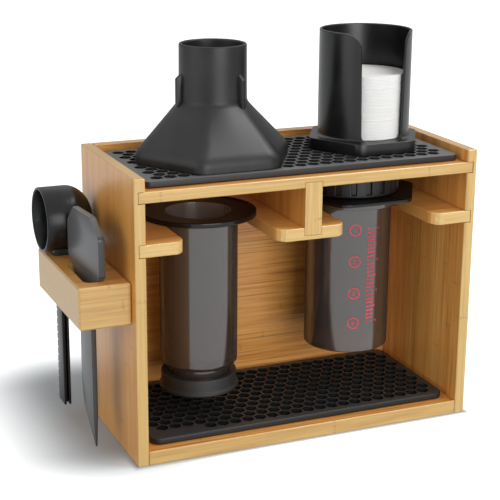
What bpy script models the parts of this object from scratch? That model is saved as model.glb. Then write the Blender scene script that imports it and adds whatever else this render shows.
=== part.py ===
"""Bamboo organizer for a hand coffee press, with the press pieces it stores.

An open-fronted box carries a tray on top and two hanging bays below it. A slotted block on its
left side holds the two hand tools. The box is sized round what it stores, so its width, depth
and height are worked out from the press pieces. X runs to the right, Y to the back and Z up.
The origin is on the floor, at the middle of the box's footprint.
"""

import math

import bmesh
import bpy
from mathutils import Matrix

MM = 0.001

# General fits
FIT = 0.3 * MM
OVERRUN = 2.0 * MM
WELD = 0.002 * MM
SHARP_ANGLE = math.radians(32)
ROUND_STEPS = 32
CORNER_STEPS = 4

# Chamber, stored upside down with its filter cap on top
CHAMBER_RADIUS = 33.1 * MM
CHAMBER_WALL = 2.3 * MM
CHAMBER_DROP = 116.0 * MM
CHAMBER_MOUTH_CHAMFER = 0.8 * MM
CHAMBER_SHIFT = 1.2 * MM
FLANGE_OVERHANG = 16.5 * MM
FLANGE_CORNER_ROUND = 11.0 * MM
FLANGE_THICKNESS = 2.5 * MM
SUPPORT_RING_LAP = 3.5 * MM
SUPPORT_RING_HEIGHT = 5.6 * MM
COLLAR_HEIGHT = 14.0 * MM
COLLAR_WALL = 1.8 * MM
LUG_COUNT = 4
LUG_ANGLE = math.radians(40)
LUG_REACH = 2.0 * MM
LUG_HEIGHT = 3.0 * MM
LUG_SETBACK = 3.0 * MM

# Filter cap
CAP_CLEARANCE = 0.4 * MM
CAP_WALL = 3.0 * MM
CAP_DISC = 2.2 * MM
CAP_CROWN = 1.6 * MM
CAP_CROWN_WIDTH = 4.0 * MM
CAP_SKIRT_GAP = 1.2 * MM
CAP_RIBS = 20
CAP_RIB_DEPTH = 1.0 * MM
CAP_RIB_SHARE = 0.62
CAP_HOLE_RADIUS = 1.8 * MM
CAP_HOLE_PITCH = 9.0 * MM
CAP_HOLE_RINGS = 2
CAP_HOLE_SIDES = 6

# Plunger and its seal
PLUNGER_CLEARANCE = 1.15 * MM
PLUNGER_DROP = 116.7 * MM
PLUNGER_FLANGE_LAP = 7.0 * MM
PLUNGER_FLANGE_THICKNESS = 2.7 * MM
PLUNGER_RIM_WIDTH = 2.6 * MM
PLUNGER_RIM_HEIGHT = 0.9 * MM
PLUNGER_WALL = 5.35 * MM
PLUNGER_FLOOR = 4.0 * MM
PLUNGER_END_ROUND = 4.0 * MM
NECK_STEP = 2.65 * MM
NECK_HEIGHT = 6.0 * MM
BOSS_STEP = 6.15 * MM
BOSS_HEIGHT = 8.0 * MM
SEAL_HEIGHT = 15.0 * MM
SEAL_CLEARANCE = 0.4 * MM
SEAL_TAPER = 1.5 * MM
SEAL_LIP = 3.0 * MM
SEAL_CROWN = 1.2 * MM

# Funnel
FUNNEL_ACROSS_FLATS = 106.7 * MM
FUNNEL_CORNER_ROUND = 12.0 * MM
FUNNEL_BAND = 8.0 * MM
FUNNEL_SKIRT = 34.5 * MM
FUNNEL_HEIGHT = 83.9 * MM
FUNNEL_NECK_RADIUS = 24.7 * MM
FUNNEL_NECK_DRAFT = 0.3 * MM
FUNNEL_WALL = 2.4 * MM
FUNNEL_STEPS = 42
FUNNEL_LOFT_RINGS = 2
FIN_COUNT = 3
FIN_REACH = 4.1 * MM
FIN_THICKNESS = 3.2 * MM
FIN_HEIGHT = 22.0 * MM
FIN_POINT = 5.0 * MM

# Filter holder and the papers in it
PAPER_CLEARANCE = 0.2 * MM
PAPER_STACK = 48.0 * MM
PAPER_GROUPS = 3
PAPER_NICK = 0.25 * MM
HOLDER_ROOM = 2.4 * MM
HOLDER_WALL = 2.0 * MM
HOLDER_TUBE = 80.2 * MM
HOLDER_BASE = 8.9 * MM
HOLDER_FLOOR = 2.4 * MM
HOLDER_CORNER_RADIUS = 46.4 * MM
HOLDER_CORNER_ROUND = 7.0 * MM
HOLDER_LIP_WIDTH = 2.2 * MM
HOLDER_LIP_HEIGHT = 1.6 * MM
HOLDER_SHELL = 2.2 * MM
WINDOW_HALF_WIDTH = 18.6 * MM
WINDOW_FOOT_HALF_WIDTH = 17.0 * MM
WINDOW_SHOULDER = 9.0 * MM
WINDOW_FOOT_ROUND = 4.0 * MM

# Rubber mats
MAT_THICKNESS = 4.7 * MM
MAT_POCKET_DEPTH = 3.4 * MM
MAT_SIDE_ROOM = 3.6 * MM
MAT_BACK_ROOM = 3.6 * MM
MAT_FRONT_SETBACK = 7.8 * MM
MAT_RIM = 2.2 * MM
CELL_PITCH = 14.4 * MM
CELL_RIB = 2.3 * MM
TOP_MAT_CORNER = 4.0 * MM
BOTTOM_MAT_CORNER = 8.0 * MM
BOTTOM_MAT_SIDE_ROOM = 5.6 * MM
PATCH_LENGTH = 46.0 * MM
PATCH_DEPTH = 10.0 * MM

# Box
SIDE_THICKNESS = 8.0 * MM
SHELF_THICKNESS = 8.0 * MM
BACK_THICKNESS = 8.0 * MM
BOTTOM_THICKNESS = 10.5 * MM
RAIL_THICKNESS = 9.1 * MM
DIVIDER_THICKNESS = 13.4 * MM
TRAY_RIM = 9.4 * MM
ARRIS = 0.5 * MM
SIDE_DADO = 4.9 * MM
SHELF_DADO = 4.4 * MM
RAIL_DADO = 6.0 * MM
RAIL_CORNER = 9.0 * MM
BAY_CLEARANCE = 3.4 * MM
PLUNGER_BAY_NARROWING = 2.4 * MM
FLANGE_ROOM = 2.0 * MM
UNDER_PLUNGER_ROOM = 11.7 * MM
OVER_CAP_ROOM = 2.9 * MM
FUNNEL_BACK_ROOM = 0.5 * MM
TRAY_FRONT_MARGIN = 11.3 * MM
BAY_SETBACK = 3.0 * MM
FUNNEL_OFFSET = 52.3 * MM
HOLDER_OFFSET = 72.0 * MM

# Dowels and screws
DOWEL_RADIUS = 2.5 * MM
BACK_DOWEL_RADIUS = 1.8 * MM
DOWEL_SIDE_DEPTH = 5.0 * MM
DOWEL_END_DEPTH = 16.0 * MM
DOWEL_STEPS = 8
BASE_DOWEL_SHARES = (-0.3, 0.3)
BACK_DOWEL_SHARES = (0.2, 0.5, 0.8)
SCREW_RADIUS = 1.7 * MM
SCREW_HEAD_RADIUS = 3.6 * MM
SCREW_HEAD_HEIGHT = 2.4 * MM
SCREW_LENGTH = 18.0 * MM
SCREW_POINT = 3.0 * MM
SCREW_STEPS = 12

# Tool block, scoop and stirrer
BLOCK_HEIGHT = 31.0 * MM
BLOCK_FRONT_SETBACK = 8.2 * MM
BLOCK_LIP = 7.7 * MM
BLOCK_INNER_WALL = 14.6 * MM
BLOCK_FRONT_WALL = 10.5 * MM
BLOCK_BACK_WALL = 6.0 * MM
BLOCK_EDGE = 1.2 * MM
SLOT_WIDTH = 15.7 * MM
SLOT_CORNER = 6.0 * MM
TOOL_GAP = 2.8 * MM
SCOOP_RADIUS = 24.0 * MM
SCOOP_WALL = 1.9 * MM
SCOOP_DEPTH = 39.4 * MM
SCOOP_DOME = 19.5 * MM
SCOOP_DOME_RINGS = 5
SCOOP_PANEL_ROOM = 0.8 * MM
SCOOP_HANDLE_WIDTH = 15.4 * MM
SCOOP_HANDLE_THICKNESS = 5.4 * MM
SCOOP_HANDLE_DROP = 120.6 * MM
SCOOP_HANDLE_OFFSET = 2.4 * MM
SCOOP_HANDLE_ROOM = 2.3 * MM
SCOOP_GROOVE_DEPTH = 5.0 * MM
SCOOP_GROOVE_WIDTH = 2.0 * MM
SCOOP_SHOULDER_HEIGHT = 1.7 * MM
SCOOP_SHOULDER_LAP = 1.8 * MM
SCOOP_SHOULDER_THICKNESS = 6.0 * MM
STIRRER_TURN = math.radians(5)
STIRRER_SHIFT = 1.1 * MM
STIRRER_SETBACK = 1.8 * MM
STIRRER_HEAD_HALF = 29.9 * MM
STIRRER_HEAD_SIDE = 28.2 * MM
STIRRER_TOP_FRONT = 13.1 * MM
STIRRER_TOP_BACK = 18.6 * MM
STIRRER_TOP_RISE = 12.0 * MM
STIRRER_HANDLE_HALF = 10.8 * MM
STIRRER_SEAT_OVERLAP = 5.4 * MM
STIRRER_SHOULDER_SLOPE = 0.8
STIRRER_HANG = 130.8 * MM
STIRRER_TIP_SLANT = 26.0 * MM
STIRRER_HEAD_THICKNESS = 5.0 * MM
STIRRER_HANDLE_THICKNESS = 3.8 * MM
STIRRER_TIP_THICKNESS = 1.4 * MM
STIRRER_EDGE = 0.8 * MM
STIRRER_FLOOR_ROOM = 5.7 * MM

# Places worked out from the sizes above
BORE_RADIUS = CHAMBER_RADIUS - CHAMBER_WALL
BAY_HALF = CHAMBER_RADIUS + BAY_CLEARANCE
SUPPORT_RING_RADIUS = BAY_HALF + SUPPORT_RING_LAP
PLUNGER_FLANGE_RADIUS = BAY_HALF + PLUNGER_FLANGE_LAP
FLANGE_CORNER_RADIUS = SUPPORT_RING_RADIUS + FLANGE_OVERHANG
CORNER_LOSS = FLANGE_CORNER_ROUND / math.cos(math.radians(30)) - FLANGE_CORNER_ROUND
FLANGE_REACH = FLANGE_CORNER_RADIUS - CORNER_LOSS
BAY_X = FLANGE_REACH + FLANGE_ROOM + DIVIDER_THICKNESS / 2
CHAMBER_X = BAY_X - CHAMBER_SHIFT
INNER_HALF = 2 * BAY_X
OUTER_HALF = INNER_HALF + SIDE_THICKNESS
DADO_END = INNER_HALF + SIDE_DADO
DEPTH = BACK_THICKNESS + FUNNEL_BACK_ROOM + FUNNEL_ACROSS_FLATS + TRAY_FRONT_MARGIN
FRONT = -DEPTH / 2
BACK = DEPTH / 2
BACK_FACE = BACK - BACK_THICKNESS
BOARD_BACK = BACK_FACE - FIT
BAY_Y = BAY_SETBACK
RAIL_HALF = BAY_X - BAY_HALF
SEAL_DROP = NECK_HEIGHT + SEAL_HEIGHT
RAIL_TOP = BOTTOM_THICKNESS + FIT + MAT_THICKNESS + UNDER_PLUNGER_ROOM + SEAL_DROP + PLUNGER_DROP
HANG = RAIL_TOP + FIT
FLANGE_TOP = HANG + SUPPORT_RING_HEIGHT + FLANGE_THICKNESS
COLLAR_TOP = FLANGE_TOP + COLLAR_HEIGHT
CAP_FLOOR = COLLAR_TOP + FIT
CAP_TOP = CAP_FLOOR + CAP_DISC + CAP_CROWN
SHELF_LOW = CAP_TOP + OVER_CAP_ROOM
SHELF_TOP = SHELF_LOW + SHELF_THICKNESS
HEIGHT = SHELF_TOP + TRAY_RIM
MAT_LOW = SHELF_TOP + FIT
STAND_ON_MAT = MAT_LOW + MAT_THICKNESS + FIT
FUNNEL_Y = BACK_FACE - FUNNEL_BACK_ROOM - FUNNEL_ACROSS_FLATS / 2
HOLDER_Y = FUNNEL_Y
COLLAR_RADIUS = BORE_RADIUS + COLLAR_WALL
LUG_RADIUS = COLLAR_RADIUS + LUG_REACH
CAP_INNER = LUG_RADIUS + CAP_CLEARANCE
CAP_RADIUS = CAP_INNER + CAP_WALL
LUG_TOP = COLLAR_TOP - LUG_SETBACK
LUG_LOW = LUG_TOP - LUG_HEIGHT
PLUNGER_RADIUS = BORE_RADIUS - PLUNGER_CLEARANCE
PLUNGER_BORE_RADIUS = PLUNGER_RADIUS - PLUNGER_WALL
NECK_RADIUS = PLUNGER_RADIUS - NECK_STEP
BOSS_RADIUS = PLUNGER_RADIUS - BOSS_STEP
SEAL_RADIUS = BORE_RADIUS - SEAL_CLEARANCE
PAPER_RADIUS = BORE_RADIUS - PAPER_CLEARANCE
HOLDER_BORE = PAPER_RADIUS + HOLDER_ROOM
HOLDER_RADIUS = HOLDER_BORE + HOLDER_WALL
STIRRER_REACH = STIRRER_HEAD_HALF * math.cos(STIRRER_TURN)
STIRRER_SLOT = 2 * (STIRRER_REACH - STIRRER_SEAT_OVERLAP)
STIRRER_SLOT_HALF = STIRRER_SLOT / 2
SCOOP_SLOT = SCOOP_HANDLE_WIDTH + 2 * SCOOP_HANDLE_ROOM
BLOCK_TOP = STIRRER_FLOOR_ROOM + STIRRER_HANG
BLOCK_LOW = BLOCK_TOP - BLOCK_HEIGHT
BLOCK_FRONT = FRONT + BLOCK_FRONT_SETBACK
BLOCK_FACE = -OUTER_HALF - FIT
BLOCK_OUTER = BLOCK_FACE - BLOCK_INNER_WALL - SLOT_WIDTH - BLOCK_LIP
SLOT_X = BLOCK_FACE - BLOCK_INNER_WALL - SLOT_WIDTH / 2
STIRRER_SLOT_Y = BLOCK_FRONT + BLOCK_FRONT_WALL + STIRRER_SLOT_HALF
STIRRER_Y = STIRRER_SLOT_Y + STIRRER_SETBACK
SCOOP_Y = STIRRER_Y + STIRRER_REACH + TOOL_GAP + SCOOP_RADIUS
BLOCK_BACK = SCOOP_Y + SCOOP_SLOT / 2 + BLOCK_BACK_WALL
WEB_Y = (STIRRER_SLOT_Y + STIRRER_SLOT_HALF + SCOOP_Y - SCOOP_SLOT / 2) / 2
SCREW_PLACES = (BLOCK_FRONT + BLOCK_FRONT_WALL / 2, WEB_Y)
BLOCK_MIDDLE = (BLOCK_LOW + BLOCK_TOP) / 2
SCREW_HEAD_FACE = -INNER_HALF - FIT


# Scene helpers

def clear_scene():
    """Remove whatever the file holds."""
    for obj in list(bpy.data.objects):
        bpy.data.objects.remove(obj, do_unlink=True)


def collection(name):
    """A collection linked under the scene."""
    group = bpy.data.collections.new(name)
    bpy.context.scene.collection.children.link(group)
    return group


clear_scene()
PARTS = collection("press_organizer")
CUTTERS = collection("cutters")


def material(name, colour, roughness):
    """A Principled material of one colour."""
    mat = bpy.data.materials.new(name)
    mat.use_nodes = True
    shader = mat.node_tree.nodes["Principled BSDF"]
    shader.inputs["Base Color"].default_value = (*colour, 1.0)
    shader.inputs["Roughness"].default_value = roughness
    return mat


BAMBOO = (0.72, 0.50, 0.25)
BLACK = (0.02, 0.02, 0.022)
SMOKE = (0.12, 0.115, 0.115)
GREY = (0.19, 0.19, 0.20)
PAPER = (0.88, 0.87, 0.84)
STEEL = (0.55, 0.55, 0.56)


def add(name, mesh, group=PARTS, place=(0, 0, 0)):
    """Link a mesh as an object at a place."""
    obj = bpy.data.objects.new(name, mesh)
    obj.location = place
    group.objects.link(obj)
    return obj


def as_cutter(obj):
    """Mark an object as a tool that isn't part of the model."""
    obj.hide_render = True
    obj.display_type = "WIRE"
    return obj


def boolean(obj, tool, operation="DIFFERENCE"):
    """Cut or join with another object."""
    as_cutter(tool)
    mod = obj.modifiers.new(operation.lower(), "BOOLEAN")
    mod.operation = operation
    mod.solver = "EXACT"
    mod.object = tool
    return obj


def bevel(obj, width, segments=1):
    """Break the sharp edges."""
    mod = obj.modifiers.new("edges", "BEVEL")
    mod.width = width
    mod.segments = segments
    mod.limit_method = "ANGLE"
    mod.angle_limit = SHARP_ANGLE
    return obj


def finish(obj, colour, roughness):
    """Apply the modifiers, shade smooth with sharp edges kept, and give the piece its material."""
    bpy.context.view_layer.update()
    graph = bpy.context.evaluated_depsgraph_get()
    mesh = bpy.data.meshes.new_from_object(obj.evaluated_get(graph))
    mesh.name = obj.name
    obj.modifiers.clear()
    obj.data = mesh
    mesh.shade_smooth()
    mesh.set_sharp_from_angle(angle=SHARP_ANGLE)
    mesh.materials.clear()
    mesh.materials.append(material(obj.name, colour, roughness))
    return obj


def empty(name, place):
    """A joint's parent empty."""
    return add(name, None, PARTS, place)


def hang_on(obj, parent):
    """Parent a piece and keep where it stands."""
    obj.parent = parent
    obj.location = obj.location - parent.location
    return obj


# Shape helpers

def box(name, low, high, group=PARTS):
    """A box between two corners, as a scaled cube primitive."""
    bm = bmesh.new()
    bmesh.ops.create_cube(bm, size=1.0)
    size = [b - a for a, b in zip(low, high)]
    middle = [(a + b) / 2 for a, b in zip(low, high)]
    bmesh.ops.transform(bm, matrix=Matrix.Diagonal((*size, 1.0)), verts=bm.verts)
    bmesh.ops.translate(bm, vec=middle, verts=bm.verts)
    mesh = bpy.data.meshes.new(name)
    bm.to_mesh(mesh)
    bm.free()
    return add(name, mesh, group)


def prism(name, radius, height, sides, group=CUTTERS, place=(0, 0, 0)):
    """A straight cylinder standing on its place."""
    bm = bmesh.new()
    bmesh.ops.create_cone(bm, cap_ends=True, segments=sides, radius1=radius, radius2=radius, depth=height)
    bmesh.ops.translate(bm, vec=(0, 0, height / 2), verts=bm.verts)
    mesh = bpy.data.meshes.new(name)
    bm.to_mesh(mesh)
    bm.free()
    return add(name, mesh, group, place)


def rounded(corners, radii, steps=CORNER_STEPS):
    """Round the corners of a counter-clockwise outline with arcs."""
    points = []
    count = len(corners)
    for i, (corner, radius) in enumerate(zip(corners, radii)):
        before = corners[i - 1]
        after = corners[(i + 1) % count]
        into = math.atan2(corner[1] - before[1], corner[0] - before[0])
        out = math.atan2(after[1] - corner[1], after[0] - corner[0])
        turn = (out - into + math.pi) % (2 * math.pi) - math.pi
        if radius == 0:
            points.append(corner)
            continue
        reach = radius * math.tan(abs(turn) / 2)
        side = math.copysign(1, turn)
        centre_x = corner[0] - reach * math.cos(into) - side * radius * math.sin(into)
        centre_y = corner[1] - reach * math.sin(into) + side * radius * math.cos(into)
        for k in range(steps + 1):
            angle = into - side * math.pi / 2 + turn * k / steps
            points.append((centre_x + radius * math.cos(angle), centre_y + radius * math.sin(angle)))
    return points


def rectangle(x0, y0, x1, y1):
    """Corners of a rectangle, counter-clockwise from the front left."""
    return [(x0, y0), (x1, y0), (x1, y1), (x0, y1)]


def hexagon(corner_radius, round_radius, steps=CORNER_STEPS):
    """A hexagon with flats to the front and back and rounded corners."""
    corners = []
    for k in range(6):
        angle = math.radians(60 * k)
        corners.append((corner_radius * math.cos(angle), corner_radius * math.sin(angle)))
    return rounded(corners, [round_radius] * 6, steps)


def plate(name, outline, low, high, group=PARTS, place=(0, 0, 0)):
    """A flat outline as a filled 2D curve with thickness, made into a welded mesh."""
    curve = bpy.data.curves.new(name, "CURVE")
    curve.dimensions = "2D"
    curve.fill_mode = "BOTH"
    curve.extrude = (high - low) / 2
    spline = curve.splines.new("POLY")
    spline.points.add(len(outline) - 1)
    for point, (x, y) in zip(spline.points, outline):
        point.co = (x, y, 0, 1)
    spline.use_cyclic_u = True
    guide = bpy.data.objects.new(name + "_curve", curve)
    CUTTERS.objects.link(guide)
    bpy.context.view_layer.update()
    graph = bpy.context.evaluated_depsgraph_get()
    mesh = bpy.data.meshes.new_from_object(guide.evaluated_get(graph))
    mesh.name = name
    bpy.data.objects.remove(guide, do_unlink=True)
    bm = bmesh.new()
    bm.from_mesh(mesh)
    bmesh.ops.remove_doubles(bm, verts=bm.verts, dist=WELD)
    bmesh.ops.translate(bm, vec=(0, 0, (low + high) / 2), verts=bm.verts)
    bmesh.ops.recalc_face_normals(bm, faces=bm.faces)
    bm.to_mesh(mesh)
    bm.free()
    return add(name, mesh, group, place)


def turned(name, profile, closed=False, steps=ROUND_STEPS, group=PARTS, place=(0, 0, 0)):
    """A turned piece: the profile at +X runs down the outer side, and a closed one comes back up."""
    count = len(profile)
    edges = [(i, (i + 1) % count) for i in range(count if closed else count - 1)]
    edges = [(a, b) for a, b in edges if profile[a][0] > 0 or profile[b][0] > 0]
    mesh = bpy.data.meshes.new(name)
    mesh.from_pydata([(r, 0, z) for r, z in profile], edges, [])
    obj = add(name, mesh, group, place)
    mod = obj.modifiers.new("turn", "SCREW")
    mod.axis = "Z"
    mod.angle = 2 * math.pi
    mod.steps = steps
    mod.render_steps = steps
    mod.use_merge_vertices = True
    mod.merge_threshold = WELD
    return obj


def arc(centre_r, centre_z, radius, start, end, steps=CORNER_STEPS):
    """Points of an arc in a turned profile, with angles in degrees from the outward direction."""
    points = []
    for k in range(steps + 1):
        angle = math.radians(start + (end - start) * k / steps)
        points.append((centre_r + radius * math.cos(angle), centre_z + radius * math.sin(angle)))
    return points


def loft(name, rings, closed=False, group=PARTS, place=(0, 0, 0)):
    """A skin through rings of equal count: capped at both ends, or joined last to first."""
    bm = bmesh.new()
    rows = [[bm.verts.new(point) for point in ring] for ring in rings]
    pairs = list(zip(rows, rows[1:]))
    if closed:
        pairs.append((rows[-1], rows[0]))
    for lower, upper in pairs:
        count = len(lower)
        for i in range(count):
            j = (i + 1) % count
            bm.faces.new((lower[i], lower[j], upper[j], upper[i]))
    if not closed:
        bm.faces.new(rows[0])
        bm.faces.new(rows[-1])
    bmesh.ops.recalc_face_normals(bm, faces=bm.faces)
    mesh = bpy.data.meshes.new(name)
    bm.to_mesh(mesh)
    bm.free()
    return add(name, mesh, group, place)


def merged(name, objects, group=CUTTERS):
    """Several separate bodies in one object, where they stand."""
    bpy.context.view_layer.update()
    bm = bmesh.new()
    for obj in objects:
        graph = bpy.context.evaluated_depsgraph_get()
        mesh = bpy.data.meshes.new_from_object(obj.evaluated_get(graph))
        mesh.transform(obj.matrix_world)
        bm.from_mesh(mesh)
        bpy.data.meshes.remove(mesh)
        bpy.data.objects.remove(obj, do_unlink=True)
    mesh = bpy.data.meshes.new(name)
    bm.to_mesh(mesh)
    bm.free()
    return add(name, mesh, group)


# Box boards

def dowel(name, side, place, radius, grow=0.0, group=CUTTERS):
    """A dowel along X through a side panel's inner face; grow makes its hole."""
    length = DOWEL_END_DEPTH + DOWEL_SIDE_DEPTH + 2 * grow
    pin = prism(name, radius + grow, length, DOWEL_STEPS, group)
    pin.rotation_euler = (0, side * math.pi / 2, 0)
    pin.location = (side * (INNER_HALF - DOWEL_END_DEPTH - grow), *place)
    return pin


def dowels(grow=0.0, group=CUTTERS):
    """The dowels in the bottom board's ends and in the back panel's edges, or their holes."""
    base = [(share * DEPTH, BOTTOM_THICKNESS / 2) for share in BASE_DOWEL_SHARES]
    back = [(BACK - BACK_THICKNESS / 2, share * HEIGHT) for share in BACK_DOWEL_SHARES]
    kinds = (("base_dowel", DOWEL_RADIUS, base), ("back_dowel", BACK_DOWEL_RADIUS, back))
    pieces = []
    for kind, radius, places in kinds:
        sides = [(side, place) for side in (-1, 1) for place in places]
        for number, (side, place) in enumerate(sides, start=1):
            pieces.append(dowel(f"{kind}_{number}", side, place, radius, grow, group))
    return pieces


def dado(name, low, high):
    """A groove for a board's end, one fit wider than the board on each side."""
    grown_low = [value - FIT for value in low]
    grown_high = [value + FIT for value in high]
    return as_cutter(box(name, grown_low, grown_high, CUTTERS))


def screw_profile(grow=0.0):
    """A countersunk screw from its head down to its point; its hole runs out past the face."""
    head = SCREW_HEAD_RADIUS + grow
    start = [(0, OVERRUN), (head, OVERRUN), (head, grow)] if grow else [(0, 0), (head, 0)]
    return start + [
        (SCREW_RADIUS + grow, -SCREW_HEAD_HEIGHT),
        (SCREW_RADIUS + grow, -SCREW_LENGTH + SCREW_POINT),
        (0, -SCREW_LENGTH - grow),
    ]


def screws(grow=0.0, group=CUTTERS):
    """The tool block's screws, driven from inside the left panel towards -X, or their holes."""
    pieces = []
    for number, y in enumerate(SCREW_PLACES, start=1):
        screw = turned(f"block_screw_{number}", screw_profile(grow), steps=SCREW_STEPS, group=group)
        screw.rotation_euler = (0, math.pi / 2, 0)
        screw.location = (SCREW_HEAD_FACE, y, BLOCK_MIDDLE)
        pieces.append(screw)
    return pieces


def side_panel(side):
    """A side panel with its shelf and rail dadoes."""
    name = "left_side_panel" if side < 0 else "right_side_panel"
    xs = sorted((side * INNER_HALF, side * OUTER_HALF))
    panel = bevel(box(name, (xs[0], FRONT, 0), (xs[1], BACK, HEIGHT)), ARRIS)
    groove = sorted((side * (INNER_HALF - OVERRUN), side * DADO_END))
    start = FRONT - OVERRUN
    rail_low = RAIL_TOP - RAIL_THICKNESS
    for board, low, high in (("shelf", SHELF_LOW, SHELF_TOP), ("rail", rail_low, RAIL_TOP)):
        cutter = dado(f"{name}_{board}_dado", (groove[0], start, low), (groove[1], BOARD_BACK, high))
        boolean(panel, cutter)
    return panel


def side_rail(side):
    """A side rail, rounded in plan at its free front corner."""
    name = "left_rail" if side < 0 else "right_rail"
    narrowing = PLUNGER_BAY_NARROWING if side < 0 else 0
    free = side * (BAY_X + BAY_HALF - narrowing)
    seated = side * DADO_END
    outline = rectangle(min(free, seated), FRONT, max(free, seated), BOARD_BACK)
    radii = [RAIL_CORNER, 0, 0, 0] if side > 0 else [0, RAIL_CORNER, 0, 0]
    rail = plate(name, rounded(outline, radii), RAIL_TOP - RAIL_THICKNESS, RAIL_TOP)
    return finish(bevel(rail, ARRIS), BAMBOO, 0.45)


def make_box(holes):
    """The glued box with its rails."""
    wood = []
    screw_holes = as_cutter(merged("screw_holes", screws(FIT)))
    for side in (-1, 1):
        panel = boolean(side_panel(side), holes)
        if side < 0:
            boolean(panel, screw_holes)
        wood.append(panel)

    inner = INNER_HALF - FIT
    back = bevel(box("back_panel", (-inner, BACK_FACE, 0), (inner, BACK, HEIGHT)), ARRIS)
    wood.append(boolean(back, holes))
    bottom = bevel(box("bottom_board", (-inner, FRONT, 0), (inner, BOARD_BACK, BOTTOM_THICKNESS)), ARRIS)
    wood.append(boolean(bottom, holes))

    half = DIVIDER_THICKNESS / 2
    divider_top = SHELF_LOW + SHELF_DADO - FIT
    divider_low = RAIL_TOP - RAIL_DADO + FIT
    groove_back = BOARD_BACK + OVERRUN
    shelf = box("top_shelf", (-DADO_END, FRONT, SHELF_LOW), (DADO_END, BOARD_BACK, SHELF_TOP))
    bevel(shelf, ARRIS)
    start = FRONT - OVERRUN
    low = (-half, start, SHELF_LOW - OVERRUN)
    boolean(shelf, dado("shelf_dado", low, (half, groove_back, divider_top)))
    wood.append(shelf)

    outline = rectangle(-RAIL_HALF, FRONT, RAIL_HALF, BOARD_BACK)
    rail = plate(
        "centre_rail",
        rounded(outline, [RAIL_CORNER, RAIL_CORNER, 0, 0]),
        RAIL_TOP - RAIL_THICKNESS,
        RAIL_TOP,
    )
    bevel(rail, ARRIS)
    boolean(rail, dado("rail_dado", (-half, start, divider_low), (half, groove_back, RAIL_TOP + OVERRUN)))
    wood.append(rail)
    wood.append(box("centre_divider", (-half, FRONT, divider_low), (half, BOARD_BACK, divider_top)))
    for piece in wood:
        finish(piece, BAMBOO, 0.45)
    side_rail(-1)
    side_rail(1)


def make_fasteners():
    """The hidden dowels and the tool block's screws."""
    for pin in dowels(group=PARTS):
        finish(pin, BAMBOO, 0.6)
    for screw in screws(group=PARTS):
        finish(screw, STEEL, 0.35)


# Tool block

def slot(name, middle_y, length):
    """A slot right through the tool block, with rounded corners."""
    outline = rectangle(
        SLOT_X - SLOT_WIDTH / 2,
        middle_y - length / 2,
        SLOT_X + SLOT_WIDTH / 2,
        middle_y + length / 2,
    )
    shape = rounded(outline, [SLOT_CORNER] * 4)
    return plate(name, shape, BLOCK_LOW - OVERRUN, BLOCK_TOP + OVERRUN, CUTTERS)


def make_tool_block():
    """The block on the left side, with a slot for the stirrer and one for the scoop."""
    low = (BLOCK_OUTER, BLOCK_FRONT, BLOCK_LOW)
    block = bevel(box("tool_block", low, (BLOCK_FACE, BLOCK_BACK, BLOCK_TOP)), BLOCK_EDGE)
    boolean(block, slot("stirrer_slot", STIRRER_SLOT_Y, STIRRER_SLOT))
    boolean(block, slot("scoop_slot", SCOOP_Y, SCOOP_SLOT))
    boolean(block, as_cutter(merged("block_screw_holes", screws(FIT))))
    return finish(block, BAMBOO, 0.45)


# Mats

def cell_centres(x0, y0, x1, y1, patch):
    """Centres of a honeycomb that fills a rectangle, in rows along X, clear of a bare patch."""
    row_step = CELL_PITCH * math.sqrt(3) / 2
    tall = CELL_PITCH / math.sqrt(3)
    rows = int((y1 - y0 - 2 * tall) / row_step) + 1
    columns = int((x1 - x0) / CELL_PITCH - 1 / 2)
    start_x = (x0 + x1) / 2 - (columns - 1 / 2) * CELL_PITCH / 2
    start_y = (y0 + y1) / 2 - (rows - 1) * row_step / 2
    centres = []
    for row in range(rows):
        shift = CELL_PITCH / 2 if row % 2 else 0
        for column in range(columns):
            x = start_x + shift + column * CELL_PITCH
            y = start_y + row * row_step
            if x < patch[0] and y < patch[1]:
                continue
            centres.append((x, y))
    return centres


def make_mat(name, side_room, low, corner, patch):
    """A rubber mat with a honeycomb of pockets inside a plain rim."""
    half = INNER_HALF - side_room
    front = FRONT + MAT_FRONT_SETBACK
    back = BACK_FACE - MAT_BACK_ROOM
    outline = rounded(rectangle(-half, front, half, back), [corner] * 4)
    mat = plate(name, outline, low, low + MAT_THICKNESS)
    edge = MAT_RIM
    limits = (-half + edge, front + edge, half - edge, back - edge)
    bare = (-half + patch[0], front + patch[1])
    centres = cell_centres(*limits, bare)
    radius = (CELL_PITCH - CELL_RIB) / math.sqrt(3)
    bottom = low + MAT_THICKNESS - MAT_POCKET_DEPTH
    pockets = []
    for x, y in centres:
        pockets.append(prism("pocket", radius, MAT_POCKET_DEPTH + OVERRUN, 6, place=(x, y, bottom)))
    boolean(mat, as_cutter(merged(name + "_pockets", pockets)))
    return finish(mat, BLACK, 0.7)


# Funnel

def section(outline_radius, corner_round, neck_radius, share, z, steps):
    """A ring between a rounded hexagon and a circle, by share, at even angles."""
    points = []
    flat = outline_radius * math.cos(math.radians(30))
    soft = corner_round / math.cos(math.radians(30)) - corner_round
    for k in range(steps):
        angle = 2 * math.pi * k / steps
        local = (angle + math.radians(30)) % math.radians(60) - math.radians(30)
        side = flat / math.cos(math.radians(30) - abs(local))
        tip = outline_radius - soft
        half_span = math.asin(min(1.0, corner_round / 2 / (outline_radius - 2 * soft)))
        if abs(local) < half_span:
            centre = outline_radius - corner_round / math.cos(math.radians(30))
            reach = math.sqrt(corner_round ** 2 - (centre * math.sin(local)) ** 2)
            side = centre * math.cos(local) + reach
        radius = min(side, tip) * (1 - share) + neck_radius * share
        points.append((radius * math.cos(angle), radius * math.sin(angle), z))
    return points


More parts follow.
